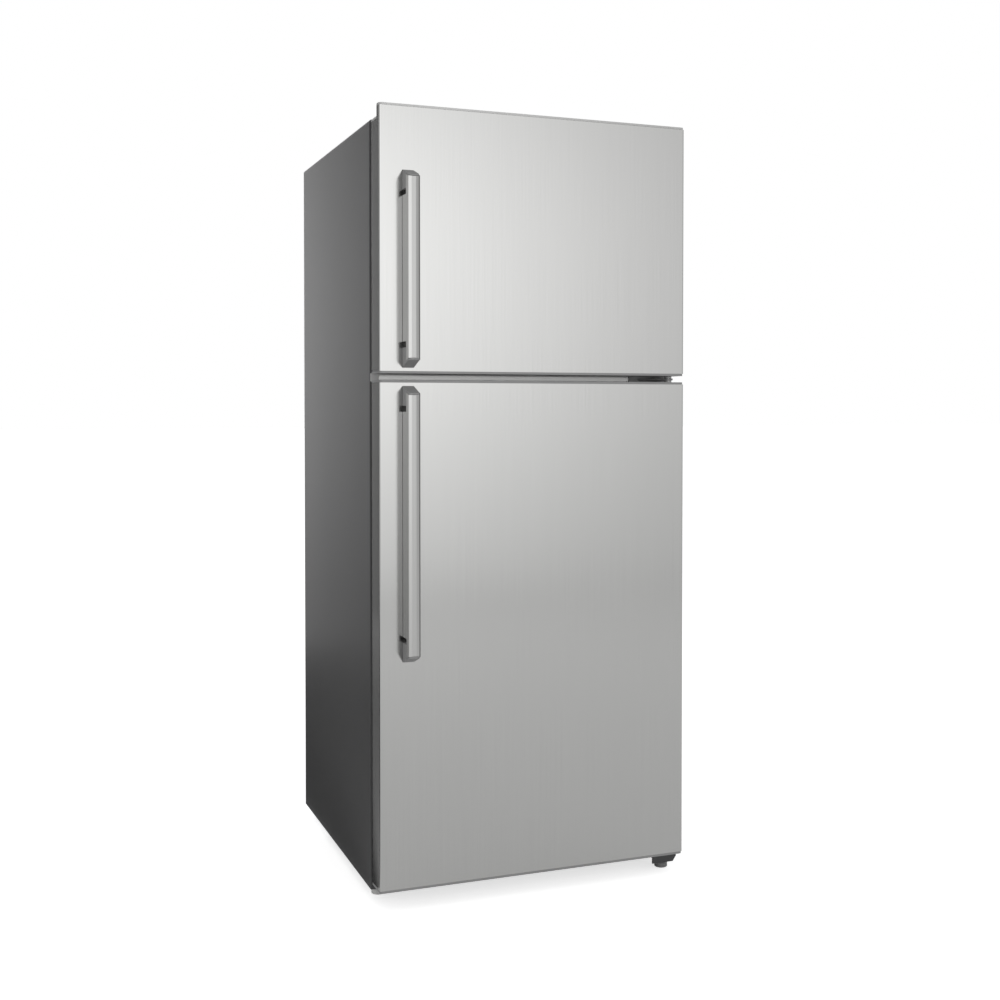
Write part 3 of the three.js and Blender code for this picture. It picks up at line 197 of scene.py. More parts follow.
capPlastic = addGrain(
    newFinish("capPlastic", (0.22, 0.22, 0.22), 0.46),
    [
        {"scale": 1300, "detail": 2, "colour": 0.05, "rough": 0.05, "bump": 0.03 * mm, "strength": 0.3},
        {"scale": 25, "detail": 2, "colour": 0.05},
    ],
)
# the bar's ends: a dark plastic made darker than the bar, which paints shade onto the ends
endPlasticShade = addGrain(
    newFinish("endPlasticShade", (0.09, 0.09, 0.09), 0.42),
    [{"scale": 1300, "detail": 2, "colour": 0.05, "rough": 0.05, "bump": 0.03 * mm, "strength": 0.3}],
)
hingeSteel = addGrain(
    newFinish("hingeSteel", (0.2, 0.2, 0.2), 0.4, 0.3),
    [{"scale": 600, "detail": 2, "colour": 0.08, "rough": 0.08, "bump": 0.04 * mm, "strength": 0.3}],
)
silverPlastic = addGrain(
    newFinish("silverPlastic", (0.42, 0.42, 0.415), 0.42, 0.25),
    [
        {"scale": 1500, "detail": 2, "colour": 0.06, "rough": 0.05},
        {"scale": 30, "detail": 2, "colour": 0.03},
    ],
)
stripPaint = addGrain(
    newFinish("stripPaint", (0.38, 0.38, 0.375), 0.2, 0.5),
    [
        {"scale": 700, "detail": 2, "colour": 0.02, "rough": 0.05, "bump": 0.03 * mm, "strength": 0.2},
        {"scale": 14, "detail": 2, "colour": 0.03},
    ],
)
whitePlastic = addGrain(
    newFinish("whitePlastic", (0.8, 0.81, 0.81), 0.36),
    [
        {"scale": 260, "detail": 3, "rough": 0.05, "bump": 0.03 * mm, "strength": 0.2},
        {"scale": 4, "detail": 2, "colour": 0.012},
    ],
)
clearPlastic = addGrain(
    newFinish("clearPlastic", (0.9, 0.94, 0.95), 0.09, IOR=1.49, Transmission_Weight=0.9),
    [{"scale": 180, "detail": 2, "rough": 0.03, "bump": 0.03 * mm, "strength": 0.15}],
)
frostedPlastic = addGrain(
    newFinish("frostedPlastic", (0.88, 0.9, 0.9), 0.45, IOR=1.49, Transmission_Weight=0.55),
    [{"scale": 700, "detail": 2, "rough": 0.08, "bump": 0.06 * mm, "strength": 0.3}],
)
shelfGlass = addGrain(
    newFinish("shelfGlass", (0.86, 0.95, 0.92), 0.02, IOR=1.5, Transmission_Weight=1.0),
    [{"scale": 8, "detail": 1, "rough": 0.01}],
)
sealRubber = addGrain(
    newFinish("sealRubber", (0.14, 0.14, 0.142), 0.6),
    [
        {"scale": 500, "detail": 3, "colour": 0.08, "rough": 0.08, "bump": 0.04 * mm, "strength": 0.3},
        {"scale": 12, "detail": 2, "colour": 0.05},
    ],
)
footRubber = addGrain(
    newFinish("footRubber", (0.17, 0.17, 0.17), 0.7),
    [{"scale": 400, "detail": 3, "colour": 0.12, "rough": 0.08, "bump": 0.08 * mm, "strength": 0.4}],
)
# a pale finish for the left front foot only: the two front feet are alike, and this paler colour is painted light
footPaintedLight = addGrain(
    newFinish("footPaintedLight", (0.6, 0.6, 0.59), 0.5),
    [{"scale": 300, "detail": 3, "colour": 0.05, "rough": 0.06, "bump": 0.05 * mm, "strength": 0.3}],
)
wireCoat = addGrain(
    newFinish("wireCoat", (0.78, 0.79, 0.79), 0.3),
    [{"scale": 500, "detail": 2, "colour": 0.03, "rough": 0.06, "bump": 0.05 * mm, "strength": 0.3}],
)
rigidFoam = addGrain(
    newFinish("rigidFoam", (0.72, 0.62, 0.34), 0.9),
    [
        {"kind": "cells", "scale": 400, "low": 0, "high": 1, "colour": 0.1, "bump": 0.3 * mm,
         "strength": 0.6},
        {"scale": 20, "detail": 3, "colour": 0.1},
    ],
)
screwSteel = addGrain(
    newFinish("screwSteel", (0.5, 0.5, 0.49), 0.3, 1.0),
    [{"scale": 700, "detail": 2, "colour": 0.1, "rough": 0.1}],
)
# the finish of each material slot
finishOf = {
    "stainless": brushedSteel,
    "cabinet_paint": sidePaint,
    "zinc_sheet": zincSheet,
    "black_steel": blackEnamel,
    "handle_aluminium": handleAluminium,
    "coil_aluminium": coilAluminium,
    "copper_tube": copperTube,
    "dark_plastic": capPlastic,
    "silver_plastic": silverPlastic,
    "white_plastic": whitePlastic,
    "clear_plastic": clearPlastic,
    "shelf_wire": wireCoat,
    "shelf_glass": shelfGlass,
    "grey_rubber": sealRubber,
    "foot_rubber": footRubber,
    "rigid_foam": rigidFoam,
}
for node, solid in frame["nodes"].items():
    for materialSlot in solid.material_slots:
        materialSlot.material = finishOf[slotOf[node]]
print("finishes made:", len(bpy.data.materials))

# for each axis, the two that are square to it and itself
flatAxes = {"x": (1, 2, 0), "y": (0, 2, 1), "z": (0, 1, 2)}
besideCorner = 0.6 * mm  # how near to a rounded corner a point is added, which keeps the face beside it flat
creaseAngle = 38  # degrees between two faces, above which their edge is sharp


def lift(axis, outline, level):
    # flat points (a, b) set square to an axis at a level along it; the level may differ from point to point
    a, b, c = flatAxes[axis]
    points = np.empty((len(outline), 3))
    points[:, a], points[:, b], points[:, c] = outline[:, 0], outline[:, 1], level
    return points


def skin(rings, closed=False):
    # faces between each ring of points and the next; a closed skin joins its last ring to its first,
    # and an open one has a flat face over each end
    rings = np.asarray(rings, float)
    rows, columns = rings.shape[:2]
    i = np.arange(rows if closed else rows - 1)[:, None]
    j = np.arange(columns)[None, :]
    nextI, nextJ = (i + 1) % rows, (j + 1) % columns
    faces = np.stack([i * columns + j, i * columns + nextJ, nextI * columns + nextJ, nextI * columns + j], -1)
    faces = faces.reshape(-1, 4).tolist()
    if not closed:
        faces += [list(range(columns)), list(range((rows - 1) * columns, rows * columns))]
    return rings.reshape(-1, 3), faces


def prism(axis, outline, start, end):
    # one flat outline carried straight along an axis
    outline = np.asarray(outline, float)
    return skin([lift(axis, outline, start), lift(axis, outline, end)])


def block(low, high, softness=0.4 * mm):
    # a box whose upright edges are cut back by a little
    x0, y0, z0 = low
    x1, y1, z1 = high
    ring = cornered((x0, y0), (x1, y1), softness, 1)
    inner = cornered((x0 + softness, y0 + softness), (x1 - softness, y1 - softness), softness, 1)
    levels = [(inner, z0), (ring, z0 + softness), (ring, z1 - softness), (inner, z1)]
    return skin([lift("z", outline, level) for outline, level in levels])


def cornered(low, high, radius, steps=8, sideSteps=1):
    # a rectangle with quarter circles at its corners, anticlockwise; sideSteps splits its straight sides
    turn = np.linspace(0, np.pi / 2, steps + 1)
    centres = [
        (high[0] - radius, low[1] + radius), (high[0] - radius, high[1] - radius),
        (low[0] + radius, high[1] - radius), (low[0] + radius, low[1] + radius),
    ]
    arcs = [
        np.stack([x + radius * np.cos(turn + start), y + radius * np.sin(turn + start)], -1)
        for (x, y), start in zip(centres, np.pi / 2 * np.arange(-1, 3))
    ]
    share = np.linspace(0, 1, sideSteps + 1)[1:-1, None]
    pieces = []
    for arc, following in zip(arcs, arcs[1:] + arcs[:1]):
        pieces += [arc, arc[-1] * (1 - share) + following[0] * share]
    return np.concatenate(pieces)


def held(outline, near=besideCorner):
    # every long side of a closed outline gains a point close to each of its ends, which keeps its face flat
    # beside a rounded corner; lengths come from the first two columns, and further columns follow along
    following = np.roll(outline, -1, 0)
    length = np.linalg.norm((following - outline)[:, :2], axis=1)
    isLong = length > 8 * near
    share = (near / np.maximum(length, near))[:, None]
    side = following - outline
    points = np.stack([outline, outline + share * side, following - share * side], 1)
    return points[np.stack([np.ones_like(isLong), isLong, isLong], 1)]


def circle(radius, sides):
    # points evenly round the origin
    angle = 2 * np.pi * np.arange(sides) / sides
    return radius * np.stack([np.cos(angle), np.sin(angle)], -1)


def rod(axis, centre, radius, start, end, sides=16, edge=0.3 * mm):
    # a round bar with its two rims cut back; centre holds the two places square to the axis
    levels = [(radius - edge, start), (radius, start + edge), (radius, end - edge), (radius - edge, end)]
    return skin([lift(axis, circle(r, sides) + np.asarray(centre), level) for r, level in levels])


def turned(axis, centre, profile, sides=32):
    # (radius, level) points turned once about an axis
    rings = [lift(axis, circle(max(r, 1e-7), sides) + np.asarray(centre), level) for r, level in profile]
    return skin(rings)


def rounding(points, rounds=2):
    # each round replaces the corners of a closed line by points at a quarter and three quarters of its sides
    points = np.asarray(points, float)
    for _ in range(rounds):
        following = np.roll(points, -1, 0)
        pairs = np.stack([0.75 * points + 0.25 * following, 0.25 * points + 0.75 * following], 1)
        points = pairs.reshape(-1, 2)
    return points


def placed(name, data):
    # a new object in the scene
    item = bpy.data.objects.new(name, data)
    bpy.context.scene.collection.objects.link(item)
    return item


def newPiece(name, parts, finish, node=None, body=None, replaced=(), smooth=creaseAngle):
    # the parts' points and faces as one mesh, with doubles merged and every face turned outwards
    points = np.concatenate([part[0] for part in parts])
    starts = np.cumsum([0] + [len(part[0]) for part in parts[:-1]])
    faces = [[i + int(start) for i in face] for start, part in zip(starts, parts) for face in part[1]]
    mesh = bpy.data.meshes.new(name)
    mesh.from_pydata(points.tolist(), [], faces)
    shaped = bmesh.new()
    shaped.from_mesh(mesh)
    bmesh.ops.remove_doubles(shaped, verts=shaped.verts, dist=2e-6)
    bmesh.ops.dissolve_degenerate(shaped, edges=shaped.edges, dist=1e-7)
    bmesh.ops.recalc_face_normals(shaped, faces=shaped.faces)
    shaped.to_mesh(mesh)
    shaped.free()
    return dressed(name, mesh, finish, smooth, body or bodyOf[node], replaced)


def dressed(name, mesh, finish, smooth, body, replaced):
    # the mesh as a piece with its finish, which rides its body; only edges over the angle smooth stay sharp
    mesh.polygons.foreach_set("use_smooth", np.ones(len(mesh.polygons), bool))
    mesh.set_sharp_from_angle(angle=math.radians(smooth))
    mesh.materials.append(finish)
    piece = placed(name, mesh)
    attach(piece, body)
    if replaced:
        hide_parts(*replaced)
    return piece


def softened(node, width, segments=2, finish=None, pulled=0.0):
    # the solid's own shape with its loose triangles joined and its edges rounded; pulled draws the points
    # within 1 mm of its foot up, or below zero those of its top down
    source = frame["nodes"][node].data
    source.calc_loop_triangles()
    points = np.empty(len(source.vertices) * 3)
    source.vertices.foreach_get("co", points)
    points = points.reshape(-1, 3)
    height = points[:, 2]
    isEnd = height < height.min() + 1 * mm if pulled > 0 else height > height.max() - 1 * mm
    height[isEnd] += pulled
    corners = np.empty(len(source.loop_triangles) * 3, np.int32)
    source.loop_triangles.foreach_get("vertices", corners)
    mesh = bpy.data.meshes.new(node + "_look")
    mesh.from_pydata(points.tolist(), [], corners.reshape(-1, 3).tolist())
    shaped = bmesh.new()
    shaped.from_mesh(mesh)
    bmesh.ops.remove_doubles(shaped, verts=shaped.verts, dist=5e-6)
    shaped.to_mesh(mesh)
    shaped.free()
    slot = slotOf[node]
    piece = dressed(node + "_look", mesh, finish or finishOf[slot], creaseAngle, bodyOf[node], [node])
    if width:
        bevel = piece.modifiers.new("edges", "BEVEL")
        bevel.width, bevel.segments = width, segments
        bevel.limit_method, bevel.angle_limit = "ANGLE", math.radians(creaseAngle)
        bevel.harden_normals = True
        bevel.miter_outer = "MITER_ARC"
    return piece


shellShape = {
    "corner": 6 * mm, "sheet": 0.8 * mm, "fold": 2.4 * mm,
    "sideFlange": 31.7 * mm, "topFlange": 36.7 * mm, "steps": 8,
    "setBack": 0.15 * mm,  # leaves the deck's front plate in front of the side flanges
}


def cabinetOutline(sideInset, topInset):
    # the cabinet's front outline from the foot of one side over the top to the other foot, moved inwards
    low, high = boxOf("cabinet_shell")
    radius = max(shellShape["corner"] - sideInset, 0.3 * mm)
    half, top = high[0] - sideInset, high[2] - topInset
    turn = np.linspace(0, np.pi / 2, shellShape["steps"] + 1)
    right = np.stack([half - radius + radius * np.cos(turn), top - radius + radius * np.sin(turn)], -1)
    beside = radius + besideCorner
    right = np.concatenate([[[half, low[2]], [half, top - beside]], right, [[half - beside, top]]])
    return np.concatenate([right, (right * [-1, 1])[::-1]])


def makeShell():
    # the section of the folded sheet, as side inset, top inset and depth, carried round the outline
    low, high = boxOf("cabinet_shell")
    low[1] += shellShape["setBack"]
    sheet, fold = shellShape["sheet"], shellShape["fold"]
    side, top = shellShape["sideFlange"], shellShape["topFlange"]
    turn = np.linspace(0, np.pi / 2, 6)
    outerFold = [(fold * (1 - math.sin(t)), low[1] + fold * (1 - math.cos(t))) for t in turn]
    inside = fold - sheet
    innerFold = [(fold - inside * math.sin(t), low[1] + fold - inside * math.cos(t)) for t in turn]
    flat = fold + besideCorner
    section = [(side, top, low[1]), (flat, flat, low[1])]
    section += [(inset, inset, depth) for inset, depth in outerFold]
    section += [(0, 0, low[1] + flat), (0, 0, high[1])]
    section += [(sheet, sheet, high[1]), (sheet, sheet, low[1] + flat)]
    section += [(inset, inset, depth) for inset, depth in innerFold[::-1]]
    section += [(flat, flat, low[1] + sheet), (side, top, low[1] + sheet)]
    grid = np.stack([lift("y", cabinetOutline(a, b), depth) for a, b, depth in section], 1)
    newPiece("cabinet_shell_look", [skin(grid)], sidePaint, "cabinet_shell", replaced=["cabinet_shell"])


makeShell()
# how far each solid's edges are rounded, in mm
cabinetEdges = {
    "bottom_deck": 0.5, "freezer_liner": 1.4, "fridge_liner": 1.4,
    "base_plate": 0.5, "compressor": 0.8, "refrigerant_pipe": 0, "drain_pan": 0.6,
    "cord_gland": 0.5, "evaporator_coil": 0, "evaporator_cover": 0, "fan_motor": 0.6, "evaporator_fan": 0.3,
    "ice_frame": 0.6, "ice_tray": 0.8, "air_duct": 0.7, "control_box": 0.9, "light_switch": 0.5,
    "glass_shelf_1": 0.7, "glass_shelf_2": 0.7, "crisper_cover": 0.7, "crisper_drawer": 0.8,
    "top_hinge": 0.5, "top_hinge_cover": 1.2, "bottom_hinge": 0.6,
}
for node, width in cabinetEdges.items():
    softened(node, width * mm)
softened("lamp_cover", 1 * mm, 3, frostedPlastic)

rearShape = {"setBack": 0.6 * mm}


def makeRearSheet(node):
    # the solid's shape, a little inside the cabinet's rear edge, which leaves room for its screw heads
    sheet = softened(node, 0).data
    points = np.empty(len(sheet.vertices) * 3)
    sheet.vertices.foreach_get("co", points)
    points[1::3] -= rearShape["setBack"]
    sheet.vertices.foreach_set("co", points)


makeRearSheet("rear_panel")
makeRearSheet("compressor_cover")
softened("middle_hinge", 0.6 * mm, finish=hingeSteel)

sleeveShape = {"radius": 8 * mm, "play": 0.5 * mm, "sides": 28}


def makeSleeve():
    # a nylon washer round the hinge pin, as tall as the gap between the two doors' caps, less some play
    pin = [joint["pos_m"] for joint in frame["joints"] if joint["name"] == "fridge_door_hinge"][0][:2]
    foot = boxOf("fridge_door_top_cap")[1][2] + sleeveShape["play"]
    top = boxOf("freezer_door_bottom_cap")[0][2] - sleeveShape["play"]
    washer = rod("z", pin, sleeveShape["radius"], foot, top, sleeveShape["sides"])
    newPiece("hinge_sleeve", [washer], silverPlastic, "middle_hinge")


makeSleeve()

stripShape = {
    "proud": 0.8 * mm, "thickness": 1 * mm, "edge": 0.3 * mm, "corner": 2 * mm,
    "rimProud": 0.2 * mm, "sheetRim": 0.2 * mm, "sideRim": 18 * mm, "rim": 4.3 * mm,
}


def makeStrip():
    # a flat sheet with rounded corners between the two openings, laid over the cabinet's folded front, and
    # a smaller, paler one on it, so that the first one's duller rim round it is painted shade for the shadow
    # lines along the gap's edges; each outline is drawn in by the edge at its front
    low, high = boxOf("mullion_cover")
    edge, radius = stripShape["edge"], stripShape["corner"]

    def sheet(sideRim, rim, proud):
        half, foot, top = high[0] - sideRim, low[2] + rim, high[2] - rim
        outline = cornered((-half, foot), (half, top), radius, 4)
        inner = cornered((-half + edge, foot + edge), (half - edge, top - edge), radius - edge, 4)
        front = low[1] - proud
        levels = [(inner, front), (outline, front + edge), (outline, front + stripShape["thickness"])]
        return skin([lift("y", ring, level) for ring, level in levels])

    # the backing's duller rim round the strip is painted shade for the shadow lines at the caps
    backingShade = sheet(0, stripShape["sheetRim"], stripShape["rimProud"])
    newPiece("mullion_sheet", [backingShade], silverPlastic, "mullion_cover", replaced=["mullion_cover"])
    strip = sheet(stripShape["sideRim"], stripShape["rim"], stripShape["proud"])
    newPiece("mullion_strip", [strip], stripPaint, "mullion_cover")


makeStrip()
print("cabinet pieces made")

doorShape = {
    "corner": 3.4 * mm, "sheet": 0.8 * mm, "fold": 1.4 * mm, "return": 12 * mm, "steps": 8,
    "lipDepth": 18.3 * mm, "lipHeight": 25 * mm,
}


def doorPlan(low, high, inset, notch):
    # the door sheet seen from above, from behind one side, round the front, to behind the other
    half, back, front = high[0], high[1], low[1]
    turn = np.linspace(0, np.pi / 2, doorShape["steps"] + 1)[:, None]
    fold, corner = doorShape["fold"], doorShape["corner"]
    behind = np.array([half - fold, back - fold]) + (fold - inset) * np.hstack([np.sin(turn), np.cos(turn)])
    ahead = np.array([half - corner, front + corner])
    ahead = ahead + (corner - inset) * np.hstack([np.cos(turn), -np.sin(turn)])
    start = [[half - doorShape["return"], back - inset]]
    step = [[half - inset, notch]] * 2
    right = np.concatenate([start, behind, step, ahead])
    return np.concatenate([right, (right * [-1, 1])[::-1]])


def makeDoorSkin(door, hasLip):
    # four corners of the sheet's section, outside foot and top, then inside top and foot, along the plan;
    # behind the lip the sheet stops lower, so the top steps down between two equal plan points
    node = door + "_door_skin"
    low, high = boxOf(node)
    notch = low[1] + doorShape["lipDepth"]
    outer = doorPlan(low, high, 0, notch)
    inner = doorPlan(low, high, doorShape["sheet"], notch)
    tops = np.full(len(outer), high[2])
    if hasLip:
        lowered = doorShape["steps"] + 3
        tops[:lowered] = tops[-lowered:] = high[2] - doorShape["lipHeight"]
    plan = np.column_stack([outer, inner, tops])
    plan = held(plan)[:-2]  # the last two would close the open plan
    outer, inner, tops = plan[:, :2], plan[:, 2:4], plan[:, 4]
    corners = [(outer, low[2]), (outer, tops), (inner, tops), (inner, low[2])]
    grid = np.stack([lift("z", line, level) for line, level in corners], 1)
    newPiece(node + "_look", [skin(grid)], brushedSteel, node, replaced=[node], smooth=30)


gasketShape = {
    "inner": 18 * mm, "radius": 8 * mm,
    # how far in from the seal's outer edge, and how far forward from the door, as shares of width and depth
    "section": [
        (0, 0), (1, 0), (1, 0.2), (0.8, 0.28), (0.68, 0.42), (0.86, 0.55), (0.95, 0.62), (0.97, 0.9),
        (0.92, 1), (0.08, 1), (0.03, 0.9), (0.05, 0.62), (0.14, 0.55), (0.32, 0.42), (0.2, 0.28), (0, 0.2),
    ],
}


def makeGasket(door):
    # the bellows' section carried round a rounded rectangle: each section point is a ring, moved inwards
    node = door + "_door_gasket"
    low, high = boxOf(node)
    section = rounding(gasketShape["section"], 2)
    span = (section - section.min(0)) / (section.max(0) - section.min(0))
    rings = []
    for inset, depth in span * [gasketShape["inner"], high[1] - low[1]]:
        radius = max(gasketShape["radius"] - 0.3 * inset, 2 * mm)
        loop = cornered((low[0] + inset, low[2] + inset), (high[0] - inset, high[2] - inset), radius, 5)
        rings.append(lift("y", loop, low[1] + depth))
    newPiece(node + "_look", [skin(rings, closed=True)], sealRubber, node, replaced=[node], smooth=50)


binShape = {
    "wall": 2 * mm, "rim": 3.2 * mm, "corner": 14 * mm, "taper": 4 * mm, "floorRound": 5 * mm,
    # share of the bin's depth from its low y side, and the share of the height that the wall has there
    "sweep": ([0.0, 0.12, 0.45, 0.72, 1.0], [0.45, 0.46, 0.74, 1.0, 1.0]),
    # shares of the height of the rings up the outside and down the inside
    "up": (0.25, 0.5, 0.75, 0.95), "down": (0.7, 0.45, 0.2),
}


def makeBin(node):
    # rings of a rounded rectangle run up the outside, over a thick rim and down the inside; each ring's
    # height follows the sweep of the side walls
    low, high = boxOf(node)
    tall = high[2] - low[2]

    def ring(share, inset, drop=0.0):
        taper = binShape["taper"] * (1 - share)
        near = (low[0] + taper + inset, low[1] + inset)
        far = (high[0] - taper - inset, high[1] - inset - 2 * taper)
        loop = cornered(near, far, max(binShape["corner"] - inset, 2 * mm), 6, 12)
        sweep = np.interp((loop[:, 1] - low[1]) / (high[1] - low[1]), *binShape["sweep"])
        top = low[2] + tall * sweep - drop
        return lift("z", loop, low[2] + (top - low[2]) * share)

    wall, rim, soft = binShape["wall"], binShape["rim"], binShape["floorRound"]
    turn = np.linspace(0, np.pi / 2, 5)
    rings = []
    for t in turn:
        loop = ring(0, soft * (1 - math.sin(t)))
        rings.append(loop + [0, 0, soft * (1 - math.cos(t))])
    rings += [ring(share, 0) for share in binShape["up"]]
    rings += [ring(1, 0, 0.8 * mm), ring(1, 0.5 * mm, 0.1 * mm), ring(1, 1 * mm), ring(1, rim - 1 * mm)]
    rings += [ring(1, rim - 0.4 * mm, 0.2 * mm), ring(1, rim, 1 * mm)]
    rings += [ring(1, rim, 3.5 * mm), ring(1, wall, 5 * mm)]
    rings += [ring(share, wall) for share in binShape["down"]]
    for t in turn[::-1]:
        loop = ring(0, wall + (soft - wall / 2) * (1 - math.sin(t)))
        rings.append(loop + [0, 0, wall + (soft - wall / 2) * (1 - math.cos(t))])
    newPiece(node + "_look", [skin(rings)], clearPlastic, node, replaced=[node], smooth=45)


handleShape = {
    "slope": 0.355, "edge": 0.5 * mm, "nick": 0.8 * mm, "mountCut": 16 * mm,
    "wall": 2.6 * mm, "wallStart": 12 * mm, "wallToDoor": 1.2 * mm, "wallOverlap": 1 * mm,
    "upright": 0.6,  # a face whose normal has more than this share along z has the ends' finish
    # the face from its inner corner to its outer one, across from the outer corner and back from the front
    "face": np.array([(27.3, 9), (22.8, 3.2), (16.5, 0.9), (6.9, 0), (0.6, 1.6), (0, 2.4)]) * mm,
}


def handleSection(low, high, inset):
    # the bar seen from its end: square back, straight sides and a face of flat facets
    outer, back, nick = low[0], high[1] - inset, handleShape["nick"]
    inner = outer + handleShape["face"][0, 0]
    across, depth = handleShape["face"].T
    face = np.stack([np.clip(outer + across, outer + inset, inner - inset), low[1] + inset + depth], -1)
    rows = [[outer + inset + nick, back], [inner - inset - nick, back], [inner - inset, back - nick]]
    return np.concatenate([rows, face, [[outer + inset, back - nick]]])


def makeHandleBar(door):
    # the section at four levels, whose ends lean inwards by the slope x the distance from the bar's back;
    # a thin wall behind its outer side closes the gap there, so fingers reach in from the inner side
    node = door + "_handle_bar"
    low, high = boxOf(node)
    edge = handleShape["edge"]
    rings = []
    for inset, side, shift in [(edge, -1, 0), (0, -1, edge), (0, 1, edge), (edge, 1, 0)]:
        section = handleSection(low, high, inset)
        lean = handleShape["slope"] * (high[1] - section[:, 1])
        level = low[2] + shift + lean if side < 0 else high[2] - shift - lean
        rings.append(lift("z", section, level))
    start = handleShape["wallStart"] - handleShape["mountCut"]
    foot = boxOf(door + "_handle_lower_mount")[1][2] + start
    top = boxOf(door + "_handle_upper_mount")[0][2] - start
    back = boxOf(door + "_door_skin")[0][1] - handleShape["wallToDoor"]
    wallFront = high[1] - handleShape["wallOverlap"]
    wall = block((low[0], wallFront, foot), (low[0] + handleShape["wall"], back, top))
    bar = newPiece(node + "_look", [skin(rings), wall], handleAluminium, node, replaced=[node], smooth=7)
    # the upright end faces take the dark end finish, which is partly painted shade
    bar.data.materials.append(endPlasticShade)
    normals = np.empty(len(bar.data.polygons) * 3)
    bar.data.polygons.foreach_get("normal", normals)
    isEnd = np.abs(normals[2::3]) > handleShape["upright"]
    bar.data.polygons.foreach_set("material_index", isEnd.astype(np.int32))


for door, hasLip in (("freezer", True), ("fridge", False)):
    makeDoorSkin(door, hasLip)
    makeGasket(door)
    makeHandleBar(door)
    softened(door + "_door_liner", 2.2 * mm, 3)
    softened(door + "_door_top_cap", 0.8 * mm)
    softened(door + "_door_bottom_cap", 0.8 * mm)
    softened(door + "_handle_upper_mount", 0.6 * mm, pulled=handleShape["mountCut"])
    softened(door + "_handle_lower_mount", 0.6 * mm, pulled=-handleShape["mountCut"])
for node in [name for name in frame["nodes"] if "_door_bin_" in name]:
    makeBin(node)
print("door pieces made")

wireShape = {"rail": 3 * mm, "railInset": 6 * mm, "wire": 1.5 * mm, "count": 25, "edgeGap": 12 * mm}


def makeWireShelf():
    # three rails across, at the front, middle and back, and even wires over them from front to back
    low, high = boxOf("freezer_shelf")
    rail, wire, inset = wireShape["rail"], wireShape["wire"], wireShape["railInset"]
    level = low[2] + rail
    depths = [low[1] + inset, (low[1] + high[1]) / 2, high[1] - inset]
    parts = [rod("x", (y, level), rail, low[0], high[0], 14) for y in depths]
    places = np.linspace(low[0] + wireShape["edgeGap"], high[0] - wireShape["edgeGap"], wireShape["count"])
    parts += [rod("y", (x, high[2] - wire), wire, low[1], high[1], 10) for x in places]
    newPiece("freezer_shelf_look", parts, wireCoat, "freezer_shelf", replaced=["freezer_shelf"])


trimShape = {
    "endGap": 2 * mm,
    # the section's lower points and upper ones, in mm: how far behind the glass's front edge, and how far
    # above its lower or its upper face
    "lower": [(-4, -6.5), (-2, -7.5), (2, -3.5), (14, -0.6)],
    "upper": [(14, 0.6), (2, 1.6), (0, 3.5), (-3, 3.5), (-4, 1)],
}


def makeShelfTrim(node):
    # a moulded front bar round the glass's front edge, its section rounded
    low, high = boxOf(node)
    section = [(low[1] + along * mm, low[2] + up * mm) for along, up in trimShape["lower"]]
    section += [(low[1] + along * mm, high[2] + up * mm) for along, up in trimShape["upper"]]
    bar = prism("x", rounding(section), low[0] + trimShape["endGap"], high[0] - trimShape["endGap"])
    newPiece(node + "_trim", [bar], whitePlastic, body="cabinet")


knobShape = {
    "front": 0.5 * mm, "sides": 144, "flutes": 18, "fluteDepth": 0.035, "fluteRadius": 10,
    # radius and distance behind the front of each ring, from the skirt's back to the grip's face, in mm
    "rings": [(14, 13), (14, 10.2), (13.2, 9.6), (10.4, 9.4), (9.6, 8.6), (9.3, 1.2), (8.6, 0.3), (7.6, 0)],
    "pointer": {"half": 1 * mm, "start": 2 * mm, "topGap": 1.2 * mm, "depth": 9.5 * mm, "edge": 0.3 * mm},
    "shaftRadius": 3 * mm, "shaftStart": 12.5 * mm,
}


def makeKnob():
    # a skirt and a grip whose radius is multiplied by 1 + depth x cos(flutes x angle), under a pointer ridge
    low, high = boxOf("thermostat_knob")
    x, z = (low[0] + high[0]) / 2, (low[2] + high[2]) / 2
    front, pointer = low[1] + knobShape["front"], knobShape["pointer"]
    unit = circle(1, knobShape["sides"])
    angle = 2 * np.pi * np.arange(knobShape["sides"]) / knobShape["sides"]
    flutes = 1 + knobShape["fluteDepth"] * np.cos(knobShape["flutes"] * angle)
    rings = []
    for radius, depth in knobShape["rings"]:
        fluted = flutes if radius < knobShape["fluteRadius"] else np.ones(len(unit))
        rings.append(lift("y", unit * fluted[:, None] * radius * mm + [x, z], front + depth * mm))
    start = (x - pointer["half"], low[1], z + pointer["start"])
    end = (x + pointer["half"], front + pointer["depth"], high[2] - pointer["topGap"])
    ridge = block(start, end, pointer["edge"])
    shaft = rod("y", (x, z), knobShape["shaftRadius"], front + knobShape["shaftStart"], high[1])
    parts = [skin(rings), ridge, shaft]
    newPiece("thermostat_knob_look", parts, silverPlastic, "thermostat_knob", replaced=["thermostat_knob"])


dialShape = {
    "count": 7, "from": 215, "to": -35, "inner": 15 * mm, "outer": 16.5 * mm, "growth": 0.35 * mm,
    "half": 0.45 * mm, "proud": 0.25 * mm, "sunk": 0.5 * mm,
}


